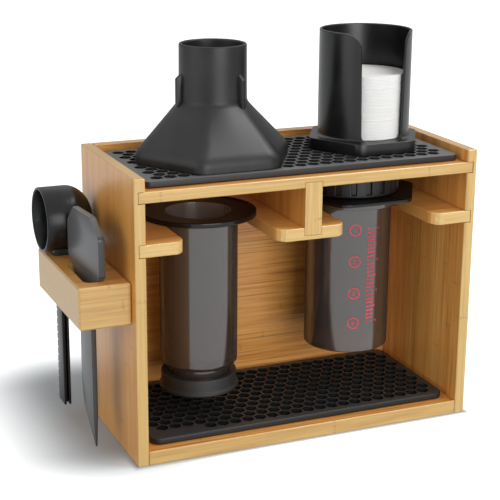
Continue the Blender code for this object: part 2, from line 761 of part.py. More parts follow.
def funnel_rings(inset):
    """Rings from the base up to the neck's rim, on a skin set in by inset."""
    corner = (FUNNEL_ACROSS_FLATS / 2 - inset) / math.cos(math.radians(30))
    corner_round = FUNNEL_CORNER_ROUND - inset
    neck = FUNNEL_NECK_RADIUS - inset
    rings = [section(corner, corner_round, neck, 0, 0, FUNNEL_STEPS)]
    for k in range(FUNNEL_LOFT_RINGS + 1):
        share = k / FUNNEL_LOFT_RINGS
        z = FUNNEL_BAND + share * FUNNEL_SKIRT
        foot_neck = neck + FUNNEL_NECK_DRAFT
        rings.append(section(corner, corner_round, foot_neck, share, z, FUNNEL_STEPS))
    rings.append(section(corner, corner_round, neck, 1, FUNNEL_HEIGHT, FUNNEL_STEPS))
    return rings


def make_funnel():
    """A funnel that stands upside down: a hexagonal mouth lofted to a round neck with fins."""
    outer = funnel_rings(0)
    inner = funnel_rings(FUNNEL_WALL)
    place = (-FUNNEL_OFFSET, FUNNEL_Y, STAND_ON_MAT)
    funnel = loft("funnel", outer + inner[::-1], closed=True, place=place)
    neck_foot = FUNNEL_BAND + FUNNEL_SKIRT
    root = FUNNEL_NECK_RADIUS - FUNNEL_WALL / 2
    tip = FUNNEL_NECK_RADIUS + FIN_REACH
    profile = [
        (root, neck_foot - FIN_POINT),
        (tip, neck_foot - FIN_POINT),
        (tip, neck_foot + FIN_HEIGHT - FIN_POINT),
        (root, neck_foot + FIN_HEIGHT),
    ]
    for k in range(FIN_COUNT):
        fin = plate("fin", profile, -FIN_THICKNESS / 2, FIN_THICKNESS / 2, CUTTERS)
        fin.rotation_euler = (math.pi / 2, 0, math.pi / 3 + 2 * math.pi * k / FIN_COUNT)
        fin.location = place
        boolean(funnel, fin, "UNION")
    return finish(funnel, BLACK, 0.5)


# Filter holder and papers

def make_holder():
    """An open tube on a hexagonal foot, with a window down its front."""
    place = (HOLDER_OFFSET, HOLDER_Y, STAND_ON_MAT)
    outline = hexagon(HOLDER_CORNER_RADIUS, HOLDER_CORNER_ROUND)
    foot = plate("filter_holder", outline, 0, HOLDER_BASE, place=place)
    bevel(foot, ARRIS)
    top = HOLDER_BASE + HOLDER_TUBE
    lip = HOLDER_RADIUS + HOLDER_LIP_WIDTH
    floor = HOLDER_BASE - HOLDER_FLOOR / 2
    tube = turned(
        "holder_tube",
        [
            (HOLDER_BORE, top),
            (HOLDER_RADIUS, top),
            (HOLDER_RADIUS, HOLDER_BASE + HOLDER_LIP_HEIGHT),
            (lip, HOLDER_BASE),
            (lip, floor),
            (HOLDER_BORE, floor),
        ],
        closed=True,
        group=CUTTERS,
        place=place,
    )
    width = WINDOW_HALF_WIDTH
    foot_width = WINDOW_FOOT_HALF_WIDTH
    shoulder = WINDOW_SHOULDER
    outline = [
        (foot_width, HOLDER_BASE),
        (width, top - shoulder),
        (width + shoulder, top),
        (width + shoulder, top + OVERRUN),
        (-width - shoulder, top + OVERRUN),
        (-width - shoulder, top),
        (-width, top - shoulder),
        (-foot_width, HOLDER_BASE),
    ]
    side_radii = [WINDOW_FOOT_ROUND, shoulder / 2, shoulder / 2, 0]
    window_shape = rounded(outline, side_radii + side_radii[::-1])
    window = plate("window", window_shape, 0, HOLDER_RADIUS + OVERRUN, CUTTERS)
    window.rotation_euler = (math.pi / 2, 0, 0)
    window.location = place
    boolean(tube, window)
    boolean(foot, tube, "UNION")
    inner_corner = HOLDER_CORNER_RADIUS - HOLDER_SHELL / math.cos(math.radians(30))
    hollow = plate(
        "holder_hollow",
        hexagon(inner_corner, HOLDER_CORNER_ROUND - HOLDER_SHELL),
        -OVERRUN,
        HOLDER_BASE - HOLDER_FLOOR,
        CUTTERS,
        place,
    )
    boolean(foot, hollow)
    return finish(foot, BLACK, 0.4)


def make_papers():
    """The stack of filter papers, nicked where handfuls of sheets meet."""
    low = FIT
    profile = [(0, low + PAPER_STACK)]
    step = PAPER_STACK / PAPER_GROUPS
    for k in range(PAPER_GROUPS, 0, -1):
        profile.append((PAPER_RADIUS, low + k * step))
        profile.append((PAPER_RADIUS, low + (k - 1) * step + 2 * PAPER_NICK))
        if k > 1:
            profile.append((PAPER_RADIUS - PAPER_NICK, low + (k - 1) * step + PAPER_NICK))
    profile[-1] = (PAPER_RADIUS, low)
    profile.append((0, low))
    place = (HOLDER_OFFSET, HOLDER_Y, STAND_ON_MAT + HOLDER_BASE)
    return finish(turned("paper_filters", profile, place=place), PAPER, 0.9)


# Plunger

def make_plunger():
    """The plunger hangs by its flange: a tube with a closed end and a neck for the seal."""
    top = PLUNGER_FLANGE_THICKNESS
    rim = top + PLUNGER_RIM_HEIGHT
    outer = PLUNGER_FLANGE_RADIUS
    end = -PLUNGER_DROP
    neck = end - NECK_HEIGHT
    boss = neck - BOSS_HEIGHT
    profile = [
        (outer - PLUNGER_RIM_WIDTH, rim),
        (outer - ARRIS, rim),
        (outer, rim - ARRIS),
        (outer, 0),
        (PLUNGER_RADIUS, 0),
    ]
    bend = PLUNGER_END_ROUND
    profile += arc(PLUNGER_RADIUS - bend, end + bend, bend, 0, -90)
    profile += [
        (NECK_RADIUS - bend, end),
        (NECK_RADIUS - bend, neck),
        (BOSS_RADIUS - ARRIS, neck),
        (BOSS_RADIUS - ARRIS, boss),
        (0, boss),
    ]
    inner = [
        (0, end + PLUNGER_FLOOR),
        (PLUNGER_BORE_RADIUS - bend, end + PLUNGER_FLOOR),
        (PLUNGER_BORE_RADIUS, end + PLUNGER_FLOOR + bend),
        (PLUNGER_BORE_RADIUS, top),
        (outer - PLUNGER_RIM_WIDTH - ARRIS, top),
    ]
    place = (-BAY_X, BAY_Y, HANG)
    return finish(turned("plunger", profile + inner, closed=True, place=place), SMOKE, 0.3)


def make_seal():
    """The rubber seal: a tapered cup pushed over the plunger's boss."""
    top = -PLUNGER_DROP - NECK_HEIGHT - FIT
    low = top - SEAL_HEIGHT + FIT
    pocket = top - BOSS_HEIGHT - FIT
    upper = SEAL_RADIUS - SEAL_TAPER
    profile = [
        (BOSS_RADIUS, top),
        (upper, top),
        (upper, top - SEAL_LIP),
        (SEAL_RADIUS - SEAL_TAPER / 2, low + SEAL_LIP),
        (SEAL_RADIUS, low + SEAL_LIP / 2),
        (SEAL_RADIUS - SEAL_LIP / 2, low + SEAL_CROWN),
        (0, low),
        (0, pocket),
        (BOSS_RADIUS, pocket),
    ]
    place = (-BAY_X, BAY_Y, HANG)
    return finish(turned("plunger_seal", profile, closed=True, place=place), BLACK, 0.6)


# Chamber and filter cap

def lug_ring(name, inner, outer, low, high, place):
    """Bayonet lugs: equal sectors of a ring."""
    lugs = []
    for k in range(LUG_COUNT):
        start = 2 * math.pi * k / LUG_COUNT - LUG_ANGLE / 2
        outside = []
        inside = []
        for i in range(CORNER_STEPS + 1):
            angle = start + LUG_ANGLE * i / CORNER_STEPS
            outside.append((outer * math.cos(angle), outer * math.sin(angle)))
            inside.append((inner * math.cos(angle), inner * math.sin(angle)))
        lugs.append(plate(name, outside + inside[::-1], low, high, CUTTERS, place))
    return merged(name, lugs)


def make_chamber():
    """The chamber hangs by its hexagonal flange, mouth down, with its cap end up."""
    place = (CHAMBER_X, BAY_Y, HANG)
    outline = hexagon(FLANGE_CORNER_RADIUS, FLANGE_CORNER_ROUND)
    flange_top = SUPPORT_RING_HEIGHT + FLANGE_THICKNESS
    chamber = plate("chamber", outline, SUPPORT_RING_HEIGHT, flange_top, place=place)
    bevel(chamber, ARRIS)
    collar_top = flange_top + COLLAR_HEIGHT
    inside_flange = flange_top - FLANGE_THICKNESS / 2
    chamfer = CHAMBER_MOUTH_CHAMFER
    outside = [
        (BORE_RADIUS / 2, collar_top),
        (COLLAR_RADIUS, collar_top),
        (COLLAR_RADIUS, inside_flange),
        (SUPPORT_RING_RADIUS, inside_flange),
        (SUPPORT_RING_RADIUS, 0),
        (CHAMBER_RADIUS, 0),
        (CHAMBER_RADIUS, -CHAMBER_DROP + chamfer),
        (CHAMBER_RADIUS - chamfer, -CHAMBER_DROP),
        (BORE_RADIUS / 2, -CHAMBER_DROP),
    ]
    body = turned("chamber_body", outside, closed=True, group=CUTTERS, place=place)
    boolean(chamber, body, "UNION")
    root = COLLAR_RADIUS - LUG_REACH / 2
    lugs = lug_ring("chamber_lugs", root, LUG_RADIUS, LUG_LOW - HANG, LUG_TOP - HANG, place)
    boolean(chamber, lugs, "UNION")
    reach = CHAMBER_DROP + collar_top + 2 * OVERRUN
    bore = prism("chamber_bore", BORE_RADIUS, reach, ROUND_STEPS)
    bore.location = (CHAMBER_X, BAY_Y, HANG - CHAMBER_DROP - OVERRUN)
    boolean(chamber, bore)
    return finish(chamber, SMOKE, 0.25)


def ribbed_outline(radius, depth, count):
    """A round outline with shallow grip ribs."""
    points = []
    period = 2 * math.pi / count
    wide = period * CAP_RIB_SHARE
    root = radius - depth
    for k in range(count):
        start = k * period
        for angle, reach in ((0, radius), (wide, radius), (wide, root), (period, root)):
            points.append((reach * math.cos(start + angle), reach * math.sin(start + angle)))
    return points


def cap_hole_places():
    """Hole centres on a triangular grid, in rings round the middle."""
    places = []
    rings = CAP_HOLE_RINGS
    for a in range(-rings, rings + 1):
        for b in range(-rings, rings + 1):
            if abs(a + b) <= rings:
                x = CAP_HOLE_PITCH * (a + b / 2)
                y = CAP_HOLE_PITCH * b * math.sqrt(3) / 2
                places.append((x, y))
    return places


def make_cap():
    """The filter cap: a ribbed skirt, a pierced disc, and lugs that turn in under the chamber's."""
    place = (CHAMBER_X, BAY_Y, FLANGE_TOP)
    low = CAP_SKIRT_GAP
    floor = CAP_FLOOR - FLANGE_TOP
    disc = floor + CAP_DISC
    crown = disc + CAP_CROWN
    outline = ribbed_outline(CAP_RADIUS, CAP_RIB_DEPTH, CAP_RIBS)
    cap = plate("filter_cap", outline, low, crown, place=place)
    inside = prism("cap_inside", CAP_INNER, floor - low + OVERRUN, ROUND_STEPS)
    inside.location = (CHAMBER_X, BAY_Y, FLANGE_TOP + low - OVERRUN)
    boolean(cap, inside)
    recess_radius = CAP_RADIUS - CAP_RIB_DEPTH - CAP_CROWN_WIDTH
    recess = prism("cap_recess", recess_radius, CAP_CROWN + OVERRUN, ROUND_STEPS)
    recess.location = (CHAMBER_X, BAY_Y, FLANGE_TOP + disc)
    boolean(cap, recess)
    holes = []
    for x, y in cap_hole_places():
        hole = prism("hole", CAP_HOLE_RADIUS, CAP_DISC + 2 * OVERRUN, CAP_HOLE_SIDES)
        hole.location = (CHAMBER_X + x, BAY_Y + y, FLANGE_TOP + floor - OVERRUN)
        holes.append(hole)
    boolean(cap, merged("cap_holes", holes))
    lug_high = LUG_LOW - FLANGE_TOP - FIT
    reach = COLLAR_RADIUS + CAP_CLEARANCE
    lugs = lug_ring("cap_lugs", reach, CAP_INNER + CAP_WALL / 2, lug_high - LUG_HEIGHT, lug_high, place)
    boolean(cap, lugs, "UNION")
    return finish(cap, BLACK, 0.45)


# Scoop

def bowl_profile(radius, dome):
    """One skin of the scoop's bowl, from its mouth at zero down to the middle of its domed end."""
    straight = SCOOP_DEPTH - SCOOP_DOME
    points = [(radius, 0)]
    for k in range(SCOOP_DOME_RINGS):
        angle = math.pi / 2 * k / SCOOP_DOME_RINGS
        points.append((radius * math.cos(angle), -straight - dome * math.sin(angle)))
    points.append((0, -straight - dome))
    return points


def make_scoop():
    """A round scoop that lies on the block, mouth outwards, its handle down through the slot."""
    radius = SCOOP_RADIUS
    hollow = SCOOP_RADIUS - SCOOP_WALL
    outside = bowl_profile(radius, SCOOP_DOME)
    inside = bowl_profile(hollow, SCOOP_DOME - SCOOP_WALL)
    mouth_x = -OUTER_HALF - SCOOP_PANEL_ROOM - SCOOP_DEPTH
    seat = BLOCK_TOP + FIT
    middle_z = seat + SCOOP_SHOULDER_HEIGHT + radius
    place = (mouth_x, SCOOP_Y, middle_z)
    bowl = turned("scoop", outside + inside[::-1], closed=True, place=place)
    bowl.rotation_euler = (0, -math.pi / 2, 0)

    handle_x = SLOT_X - SCOOP_HANDLE_OFFSET
    low = seat - SCOOP_HANDLE_DROP
    half = SCOOP_HANDLE_THICKNESS / 2
    wide = SCOOP_HANDLE_WIDTH / 2
    handle_low = (handle_x - half, SCOOP_Y - wide, low)
    handle_high = (handle_x + half, SCOOP_Y + wide, seat + SCOOP_SHOULDER_HEIGHT)
    handle = box("scoop_handle", handle_low, handle_high, CUTTERS)
    groove_half = SCOOP_GROOVE_WIDTH / 2
    for side in (-1, 1):
        near = SCOOP_Y + side * (wide - SCOOP_GROOVE_DEPTH)
        far = SCOOP_Y + side * (wide + OVERRUN)
        groove_low = (handle_x - groove_half, min(near, far), low - OVERRUN)
        groove_high = (handle_x + groove_half, max(near, far), seat - SCOOP_GROOVE_DEPTH)
        boolean(handle, box("scoop_groove", groove_low, groove_high, CUTTERS))
    lap = SCOOP_SLOT / 2 + SCOOP_SHOULDER_LAP
    root = radius - SCOOP_WALL / 2
    spread = math.degrees(math.asin(lap / root))
    outline = [(-lap, seat), (lap, seat)] + arc(0, middle_z, root, -90 + spread, -90 - spread)
    thick = SCOOP_SHOULDER_THICKNESS / 2
    shoulder = plate("scoop_shoulder", outline, -thick, thick, CUTTERS)
    shoulder.rotation_euler = (math.pi / 2, 0, math.pi / 2)
    shoulder.location = (handle_x, SCOOP_Y, 0)
    boolean(handle, shoulder, "UNION")
    boolean(bowl, handle, "UNION")
    return finish(bowl, BLACK, 0.4)


# Stirrer

def stirrer_section(left, right, half_thickness, z):
    """A flat section with its edges taken off."""
    cut = min(STIRRER_EDGE, half_thickness / 2)
    return [
        (-half_thickness, left + cut, z[0]),
        (-half_thickness + cut, left, z[0]),
        (half_thickness - cut, left, z[0]),
        (half_thickness, left + cut, z[0]),
        (half_thickness, right - cut, z[1]),
        (half_thickness - cut, right, z[1]),
        (-half_thickness + cut, right, z[1]),
        (-half_thickness, right - cut, z[1]),
    ]


def make_stirrer():
    """A flat stirrer hung by its broad head, its handle cut on the slant at the tip."""
    seat = FIT
    head = STIRRER_HEAD_THICKNESS / 2
    flat_end = SLOT_WIDTH / 2 - SLOT_CORNER
    into_corner = STIRRER_SHIFT + head - flat_end
    corner_loss = SLOT_CORNER - math.sqrt(SLOT_CORNER ** 2 - into_corner ** 2)
    slot_half = STIRRER_SLOT_HALF - corner_loss - head * math.sin(STIRRER_TURN)
    front_overlap = STIRRER_HEAD_HALF - slot_half - STIRRER_SETBACK
    back_overlap = STIRRER_HEAD_HALF - slot_half + STIRRER_SETBACK
    front_corner = seat + front_overlap * STIRRER_SHOULDER_SLOPE
    back_corner = seat + back_overlap * STIRRER_SHOULDER_SLOPE
    shoulder = (STIRRER_HEAD_HALF - STIRRER_HANDLE_HALF) * STIRRER_SHOULDER_SLOPE
    side_z = front_corner + STIRRER_HEAD_SIDE
    top_z = side_z + STIRRER_TOP_RISE
    tip_z = -STIRRER_HANG
    handle = STIRRER_HANDLE_THICKNESS / 2
    tip = STIRRER_TIP_THICKNESS / 2
    wide = STIRRER_HEAD_HALF
    narrow = STIRRER_HANDLE_HALF
    slant = STIRRER_TIP_SLANT
    levels = [
        (-narrow, narrow, tip, (tip_z, tip_z + slant)),
        (-narrow, narrow, handle, (tip_z + slant, tip_z + 2 * slant)),
        (-narrow, narrow, handle, (front_corner - shoulder, back_corner - shoulder)),
        (-wide, wide, head, (front_corner, back_corner)),
        (-wide, wide, head, (side_z, side_z)),
        (-STIRRER_TOP_FRONT, STIRRER_TOP_BACK, head, (top_z, top_z)),
    ]
    rings = [stirrer_section(*level) for level in levels]
    place = (SLOT_X + STIRRER_SHIFT, STIRRER_Y, BLOCK_TOP)
    stirrer = loft("stirrer", rings, place=place)
    stirrer.rotation_euler = (0, 0, STIRRER_TURN)
    return finish(stirrer, GREY, 0.45)


def main():
    """Build every piece, then hang the moving ones on their joints."""
    make_box(as_cutter(merged("dowel_holes", dowels(FIT))))
    make_fasteners()
    make_tool_block()
    none = (0, 0)
    top_mat = make_mat("top_mat", MAT_SIDE_ROOM, MAT_LOW, TOP_MAT_CORNER, none)
    patch = (PATCH_LENGTH, PATCH_DEPTH)
    make_mat("bottom_mat", BOTTOM_MAT_SIDE_ROOM, BOTTOM_THICKNESS + FIT, BOTTOM_MAT_CORNER, patch)
    hang_on(make_funnel(), top_mat)
    holder = make_holder()
    hang_on(make_papers(), holder)
    hang_on(holder, top_mat)
    plunger = make_plunger()
    hang_on(make_seal(), plunger)
    chamber = make_chamber()
    turn = hang_on(empty("cap_turn", (CHAMBER_X, BAY_Y, FLANGE_TOP)), chamber)
    cap = make_cap()
    cap.parent = turn
    cap.location = (0, 0, 0)
    make_scoop()
    make_stirrer()
    for tool in list(CUTTERS.objects):
        bpy.data.objects.remove(tool, do_unlink=True)


main()
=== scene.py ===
# %% [markdown]
# # A coffee press organizer, dressed for its picture
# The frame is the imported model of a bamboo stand: a box with two hanging bays, a mat-lined tray on
# top and a tool block on its left side. This script keeps the flat boards as they are and gives
# them a bamboo finish. It works out finer surfaces for the moulded pieces and lays them exactly
# where the frame has them. Every length below is in millimetres until a mesh is made.

# %% Load the frame
import math

import bpy
import numpy as np
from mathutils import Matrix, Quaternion, Vector
from mathutils.geometry import delaunay_2d_cdt


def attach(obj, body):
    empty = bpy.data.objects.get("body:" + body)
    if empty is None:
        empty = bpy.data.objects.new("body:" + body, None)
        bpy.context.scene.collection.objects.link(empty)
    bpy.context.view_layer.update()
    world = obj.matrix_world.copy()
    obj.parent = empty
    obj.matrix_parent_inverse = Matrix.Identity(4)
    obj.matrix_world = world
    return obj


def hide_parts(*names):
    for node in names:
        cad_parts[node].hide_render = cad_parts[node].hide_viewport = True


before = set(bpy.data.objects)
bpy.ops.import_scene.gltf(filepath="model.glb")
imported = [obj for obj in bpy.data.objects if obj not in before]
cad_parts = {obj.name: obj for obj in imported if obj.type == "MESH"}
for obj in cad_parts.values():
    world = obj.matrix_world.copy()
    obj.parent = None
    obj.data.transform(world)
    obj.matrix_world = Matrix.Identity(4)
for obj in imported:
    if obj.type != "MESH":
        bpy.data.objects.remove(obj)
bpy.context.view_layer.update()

# %% [markdown]
# ## Camera
# The photograph was taken a little from the left and from above with a long lens. Its bearing,
# drop and roll were solved from the straight edges of the box, so the camera is set by its place
# and those three angles rather than by eye.

# %% Camera
MM = 0.001
PER_METRE = 1000
CAMERA_PLACE = (-412.13, -911.39, 424.94)
BEARING = math.radians(-23.148)
DROP = math.radians(16.410)
ROLL = math.radians(0.417)
LENS = 97.705
SENSOR_WIDTH = 36
FAR_CLIP = 30000

camera_data = bpy.data.cameras.new("camera")
camera_data.lens = LENS
camera_data.sensor_width = SENSOR_WIDTH
camera_data.clip_end = FAR_CLIP * MM
camera = bpy.data.objects.new("camera", camera_data)
bpy.context.scene.collection.objects.link(camera)
bpy.context.scene.camera = camera
level = math.cos(DROP)
back = Vector((math.sin(BEARING) * level, -math.cos(BEARING) * level, math.sin(DROP)))
camera.location = [value * MM for value in CAMERA_PLACE]
camera.rotation_mode = "QUATERNION"
camera.rotation_quaternion = (-back).to_track_quat("-Z", "Y") @ Quaternion((0, 0, 1), ROLL)
print("camera at", [round(value, 3) for value in camera.location])

# %% [markdown]
# ## Shader arithmetic
# A finish is mostly arithmetic on coordinates: stripes, bands and masks. Wiring Math nodes by hand
# hides that, so a small class wraps a socket and lets ordinary operators add the nodes. Every
# other node comes from one method of the finish itself.

# %% Finish and value classes
def srgb(red, green, blue):
    """A colour as it is read off a screen, 0 to 255, turned into the linear numbers a shader takes."""
    parts = np.array([red, green, blue]) / 255
    linear = np.where(parts <= 0.04045, parts / 12.92, ((parts + 0.055) / 1.055) ** 2.4)
    return (*linear.tolist(), 1.0)


class Value:
    """A number that varies over a surface: an operator on it adds the Math node for it."""

    def __init__(self, finish, socket):
        self.finish = finish
        self.socket = socket

    def maths(self, operation, *terms):
        """Add a Math node that takes the terms in their order."""
        inputs = dict(enumerate(terms))
        return self.finish.node("ShaderNodeMath", {"operation": operation}, inputs)

    def __add__(self, other):
        return self.maths("ADD", self, other)

    def __sub__(self, other):
        return self.maths("SUBTRACT", self, other)

    def __rsub__(self, other):
        return self.maths("SUBTRACT", other, self)

    def __mul__(self, other):
        return self.maths("MULTIPLY", self, other)

    def __truediv__(self, other):
        return self.maths("DIVIDE", self, other)

    def __rtruediv__(self, other):
        return self.maths("DIVIDE", other, self)

    def __pow__(self, other):
        return self.maths("POWER", self, other)

    def __abs__(self):
        return self.maths("ABSOLUTE", self)

    def floor(self):
        """The whole number below."""
        return self.maths("FLOOR", self)

    def part(self):
        """What is left over past the whole number below."""
        return self.maths("FRACT", self)

    def at_least(self, other):
        """The larger of the two."""
        return self.maths("MAXIMUM", self, other)

    def between(self, low, high):
        """A soft step: 0 at low and 1 at high, whichever way round they are."""
        inputs = {"Value": self, "From Min": low, "From Max": high}
        return self.finish.node("ShaderNodeMapRange", {"interpolation_type": "SMOOTHSTEP"}, inputs)

    __radd__ = __add__
    __rmul__ = __mul__


class Finish:
    """A material or world in the making: fixed values on its shader, and nodes for what varies."""

    def __init__(self, name, world=False, **fixed):
        make = bpy.data.worlds if world else bpy.data.materials
        self.material = make.new(name)
        self.material.use_nodes = True
        self.tree = self.material.node_tree
        self.shader = self.tree.nodes["Background" if world else "Principled BSDF"]
        for words, value in fixed.items():
            self.shader.inputs[words.replace("_", " ")].default_value = value

    def node(self, kind, settings=None, inputs=None, output=0):
        """Add any node: its settings first, then the values or links of its sockets."""
        made = self.tree.nodes.new(kind)
        for key, value in (settings or {}).items():
            setattr(made, key, value)
        for key, value in (inputs or {}).items():
            if isinstance(value, Value):
                self.tree.links.new(value.socket, made.inputs[key])
            else:
                made.inputs[key].default_value = value
        return Value(self, made.outputs[output])

    def split(self, output):
        """One output of Texture Coordinate as three values, one for each axis."""
        whole = self.node("ShaderNodeTexCoord", output=output)
        parts = self.tree.nodes.new("ShaderNodeSeparateXYZ")
        self.tree.links.new(whole.socket, parts.inputs[0])
        return [Value(self, socket) for socket in parts.outputs]

    def places(self):
        """The piece's own coordinates in millimetres, one value for each axis."""
        return [value * PER_METRE for value in self.split("Object")]

    def facing(self, axis):
        """How squarely the surface faces along one of the piece's own axes, from -1 to 1."""
        return self.split("Normal")[axis]

    def vector(self, *parts):
        """Three values or numbers joined in one vector."""
        return self.node("ShaderNodeCombineXYZ", inputs=dict(enumerate(parts)))

    def noise(self, where, scale=1.0, detail=2.0):
        """Soft noise from 0 to 1, with its scale in changes per unit of the place."""
        inputs = {"Vector": where, "Scale": scale, "Detail": detail}
        return self.node("ShaderNodeTexNoise", inputs=inputs)

    def lot(self, where):
        """A lot drawn for each whole-number place, from 0 to 1, always the same for the same place."""
        return self.node("ShaderNodeTexWhiteNoise", inputs={"Vector": where})

    def mix(self, share, one, other):
        """One colour fading into another by a share. The Mix node has its colours on inputs 6 and
        7 and on output 2."""
        return self.node("ShaderNodeMix", {"data_type": "RGBA"}, {0: share, 6: one, 7: other}, 2)

    def feed(self, socket, value):
        """Link a value to one of the shader's sockets."""
        self.tree.links.new(value.socket, self.shader.inputs[socket])

    def bump(self, height, depth, strength):
        """Raise and lower the surface's shading by a height from 0 to 1 times a depth in millimetres."""
        inputs = {"Strength": strength, "Distance": depth * MM, "Height": height}
        self.feed("Normal", self.node("ShaderNodeBump", inputs=inputs))


print("classes Value and Finish are ready")

# %% [markdown]
# ## Studio
# The real picture is a plain product shot: soft light from everywhere, a little more from the
# front and from above, and a white ground that keeps only the object's soft shadow. The world
# gives the even part. Three large lamps give the direction, and the left one is so wide that the
# tools on that side throw no hard shadow. The camera sees a white world. Mirror rays see one that
# is darker near the ground, so that glossy pieces get a soft shade from top to bottom.

# %% Lamps and world
WHITE = (1, 1, 1, 1)
BLACK = (0, 0, 0, 1)
WORLD_STRENGTH = 0.43
SKY_LOW = 0.3
SKY_FULL_AT = 0.7
LAMP_AIM = (0, 0, 120)
# The name, place, side and power in watts of each lamp.
LAMPS = (
    ("front_lamp", (80, -1700, 420), 1100, 18.0),
    ("key_lamp", (620, -300, 1250), 560, 9.0),
    ("left_lamp", (-1700, -300, 400), 1700, 11.0),
)


def lamp(name, place, side, power):
    """A square soft lamp aimed at the middle of the stand."""
    data = bpy.data.lights.new(name, "AREA")
    data.size = side * MM
    data.energy = power
    obj = bpy.data.objects.new(name, data)
    bpy.context.scene.collection.objects.link(obj)
    obj.location = Vector(place) * MM
    obj.rotation_mode = "QUATERNION"
    obj.rotation_quaternion = (Vector(LAMP_AIM) * MM - obj.location).to_track_quat("-Z", "Y")


for settings in LAMPS:
    lamp(*settings)
world = Finish("studio", world=True, Color=WHITE)
bpy.context.scene.world = world.material
is_mirror = world.node("ShaderNodeLightPath", output="Is Glossy Ray")
is_camera = world.node("ShaderNodeLightPath", output="Is Camera Ray")
sky = SKY_LOW + (1 - SKY_LOW) * world.split("Generated")[2].between(0.0, SKY_FULL_AT)
soft = WORLD_STRENGTH + is_mirror * (sky - WORLD_STRENGTH)
world.feed("Strength", soft + is_camera * (1 - soft))
bpy.context.scene.view_settings.view_transform = "Standard"
print("studio: world", WORLD_STRENGTH, "and", len(LAMPS), "lamps")

# %% [markdown]
# The ground is pale paper. Beside the left wall it is plain and keeps the soft shadow. Further out it glows
# for camera and mirror rays only. So the picture runs out into white, and the object still gets no light
# from the glow. The plain patch is partly real shadow and partly painted shade: the paper there stays
# greyer than the white around it, and the slow fade of the glow paints the shadow's soft outer edge. A
# narrow rim round the stand stays plain as well, a thin painted shade along the real contact shadow.

# %% Ground
GROUND_REACH = 6000
GROUND_GREY = srgb(176, 182, 186)
STAND_HALF = (135.0, 63.25)
SHADE_SIDE = (-135, -125)
SHADE_DEPTH = (-20, 110)
DEPTH_FALL = 1.2
GLOW_START = 14
GLOW_FULL = 108
CONTACT = 6
MIRROR_GLOW = 0.6


def rectangle(left, front, right, back_edge):
    """The four corners of a rectangle, from the front left one round to the back left one."""
    return [(left, front), (right, front), (right, back_edge), (left, back_edge)]


def outside(value, low, high):
    """How far a value lies below low or above high, and zero between them."""
    return (low - value).at_least(value - high).at_least(0)


reach = GROUND_REACH * MM
ground_mesh = bpy.data.meshes.new("ground")
ground_corners = [(x, y, 0) for x, y in rectangle(-reach, -reach, reach, reach)]
ground_mesh.from_pydata(ground_corners, [], [(0, 1, 2, 3)])
ground = bpy.data.objects.new("ground", ground_mesh)
bpy.context.scene.collection.objects.link(ground)
ground_paper = Finish(
    "ground_paper", Base_Color=GROUND_GREY, Roughness=0.9, Specular_IOR_Level=0.0, Emission_Strength=1.0,
)
ground_x, ground_y, _ = ground_paper.places()
# Painted shade: the paper stays plain grey in a box beside the left wall, and the glow fades in slowly away
# from it, which paints the shadow's soft outer edge.
side_off = outside(ground_x, *SHADE_SIDE)
depth_off = outside(ground_y, *SHADE_DEPTH) * DEPTH_FALL
far = ((side_off * side_off + depth_off * depth_off) ** 0.5).between(GLOW_START, GLOW_FULL)
# A thin rim round the stand gets no glow either: a painted shade along the real contact shadow.
edge_off = (abs(ground_x) - STAND_HALF[0]).at_least(abs(ground_y) - STAND_HALF[1])
seen = ground_paper.node("ShaderNodeLightPath", output="Is Camera Ray") * edge_off.between(0, CONTACT)
mirrored = ground_paper.node("ShaderNodeLightPath", output="Is Glossy Ray") * MIRROR_GLOW
ground_paper.feed("Emission Color", ground_paper.mix(far * (seen + mirrored), BLACK, WHITE))
ground_mesh.materials.append(ground_paper.material)
print("ground glows from", GLOW_START, "to", GLOW_FULL, "mm away from the shade")

# %% [markdown]
# ## Bamboo
# The boards are laminated bamboo: strips about 8 mm wide glued side by side, each a little lighter
# or darker than the next, full of fine dark fibres along the grain and crossed now and then by
# the scar of a node. Image textures would show the same board everywhere, so the pattern is
# computed from the place on the board. Each board says which way its grain runs, so one recipe
# serves the horizontal back, the upright sides and the cross-cut front edges.

# %% Bamboo settings
X, Y, Z = 0, 1, 2
STRIP = 8.2
STRIP_DEPTH = 60
STRIP_SWAY = 3
STRIP_SHIFT = 3.1
NODE_STEP = 210.0
NODE_SHIFT = 7.3
FACE_TONES = (srgb(242, 186, 104), srgb(226, 158, 76), srgb(200, 126, 52))
EDGE_TONES = (srgb(218, 184, 116), srgb(204, 164, 96), srgb(188, 144, 78))
FIBRE = srgb(128, 72, 26)
# How often each layer of noise changes per millimetre, along the grain and across it.
SWAY_RATES = (0.004, 0.02)
BROAD_RATES = (0.006, 0.12)
FINE_RATES = (0.018, 0.5)
THIN_RATES = (0.03, 1.3)
DARK_RATES = (0.012, 0.7)
RAGGED_RATES = (0.4, 1.2)
# How much the strip's lot and three layers add to the tone, and what is taken off their sum.
STRIP_SHARE, BROAD_SHARE, FINE_SHARE, THIN_SHARE = 0.16, 0.35, 0.75, 0.3
TONE_OFF = 0.24
TONE_MIDDLE = 0.54
# Where each soft step starts and where it is full.
DARK_TO_MIDDLE = (0.25, 0.6)
MIDDLE_TO_LIGHT = (0.5, 0.9)
SCAR_STEP = (0.0075, 0.0025)
RAGGED_STEP = (0.42, 0.62)
DARK_STEP = (0.56, 0.7)
THIN_STEP = (0.55, 0.72)
SAWN_STEP = (0.6, 0.9)
EDGE_STEP = (0.45, 0.7)
# How even a sawn end is, how strongly a scar shows, and how much quieter the fibres are on an edge.
SAWN_EVEN = 0.7
SCAR_SHOW = 0.35
EDGE_QUIET = 0.6
print("bamboo strips are", STRIP, "mm wide")

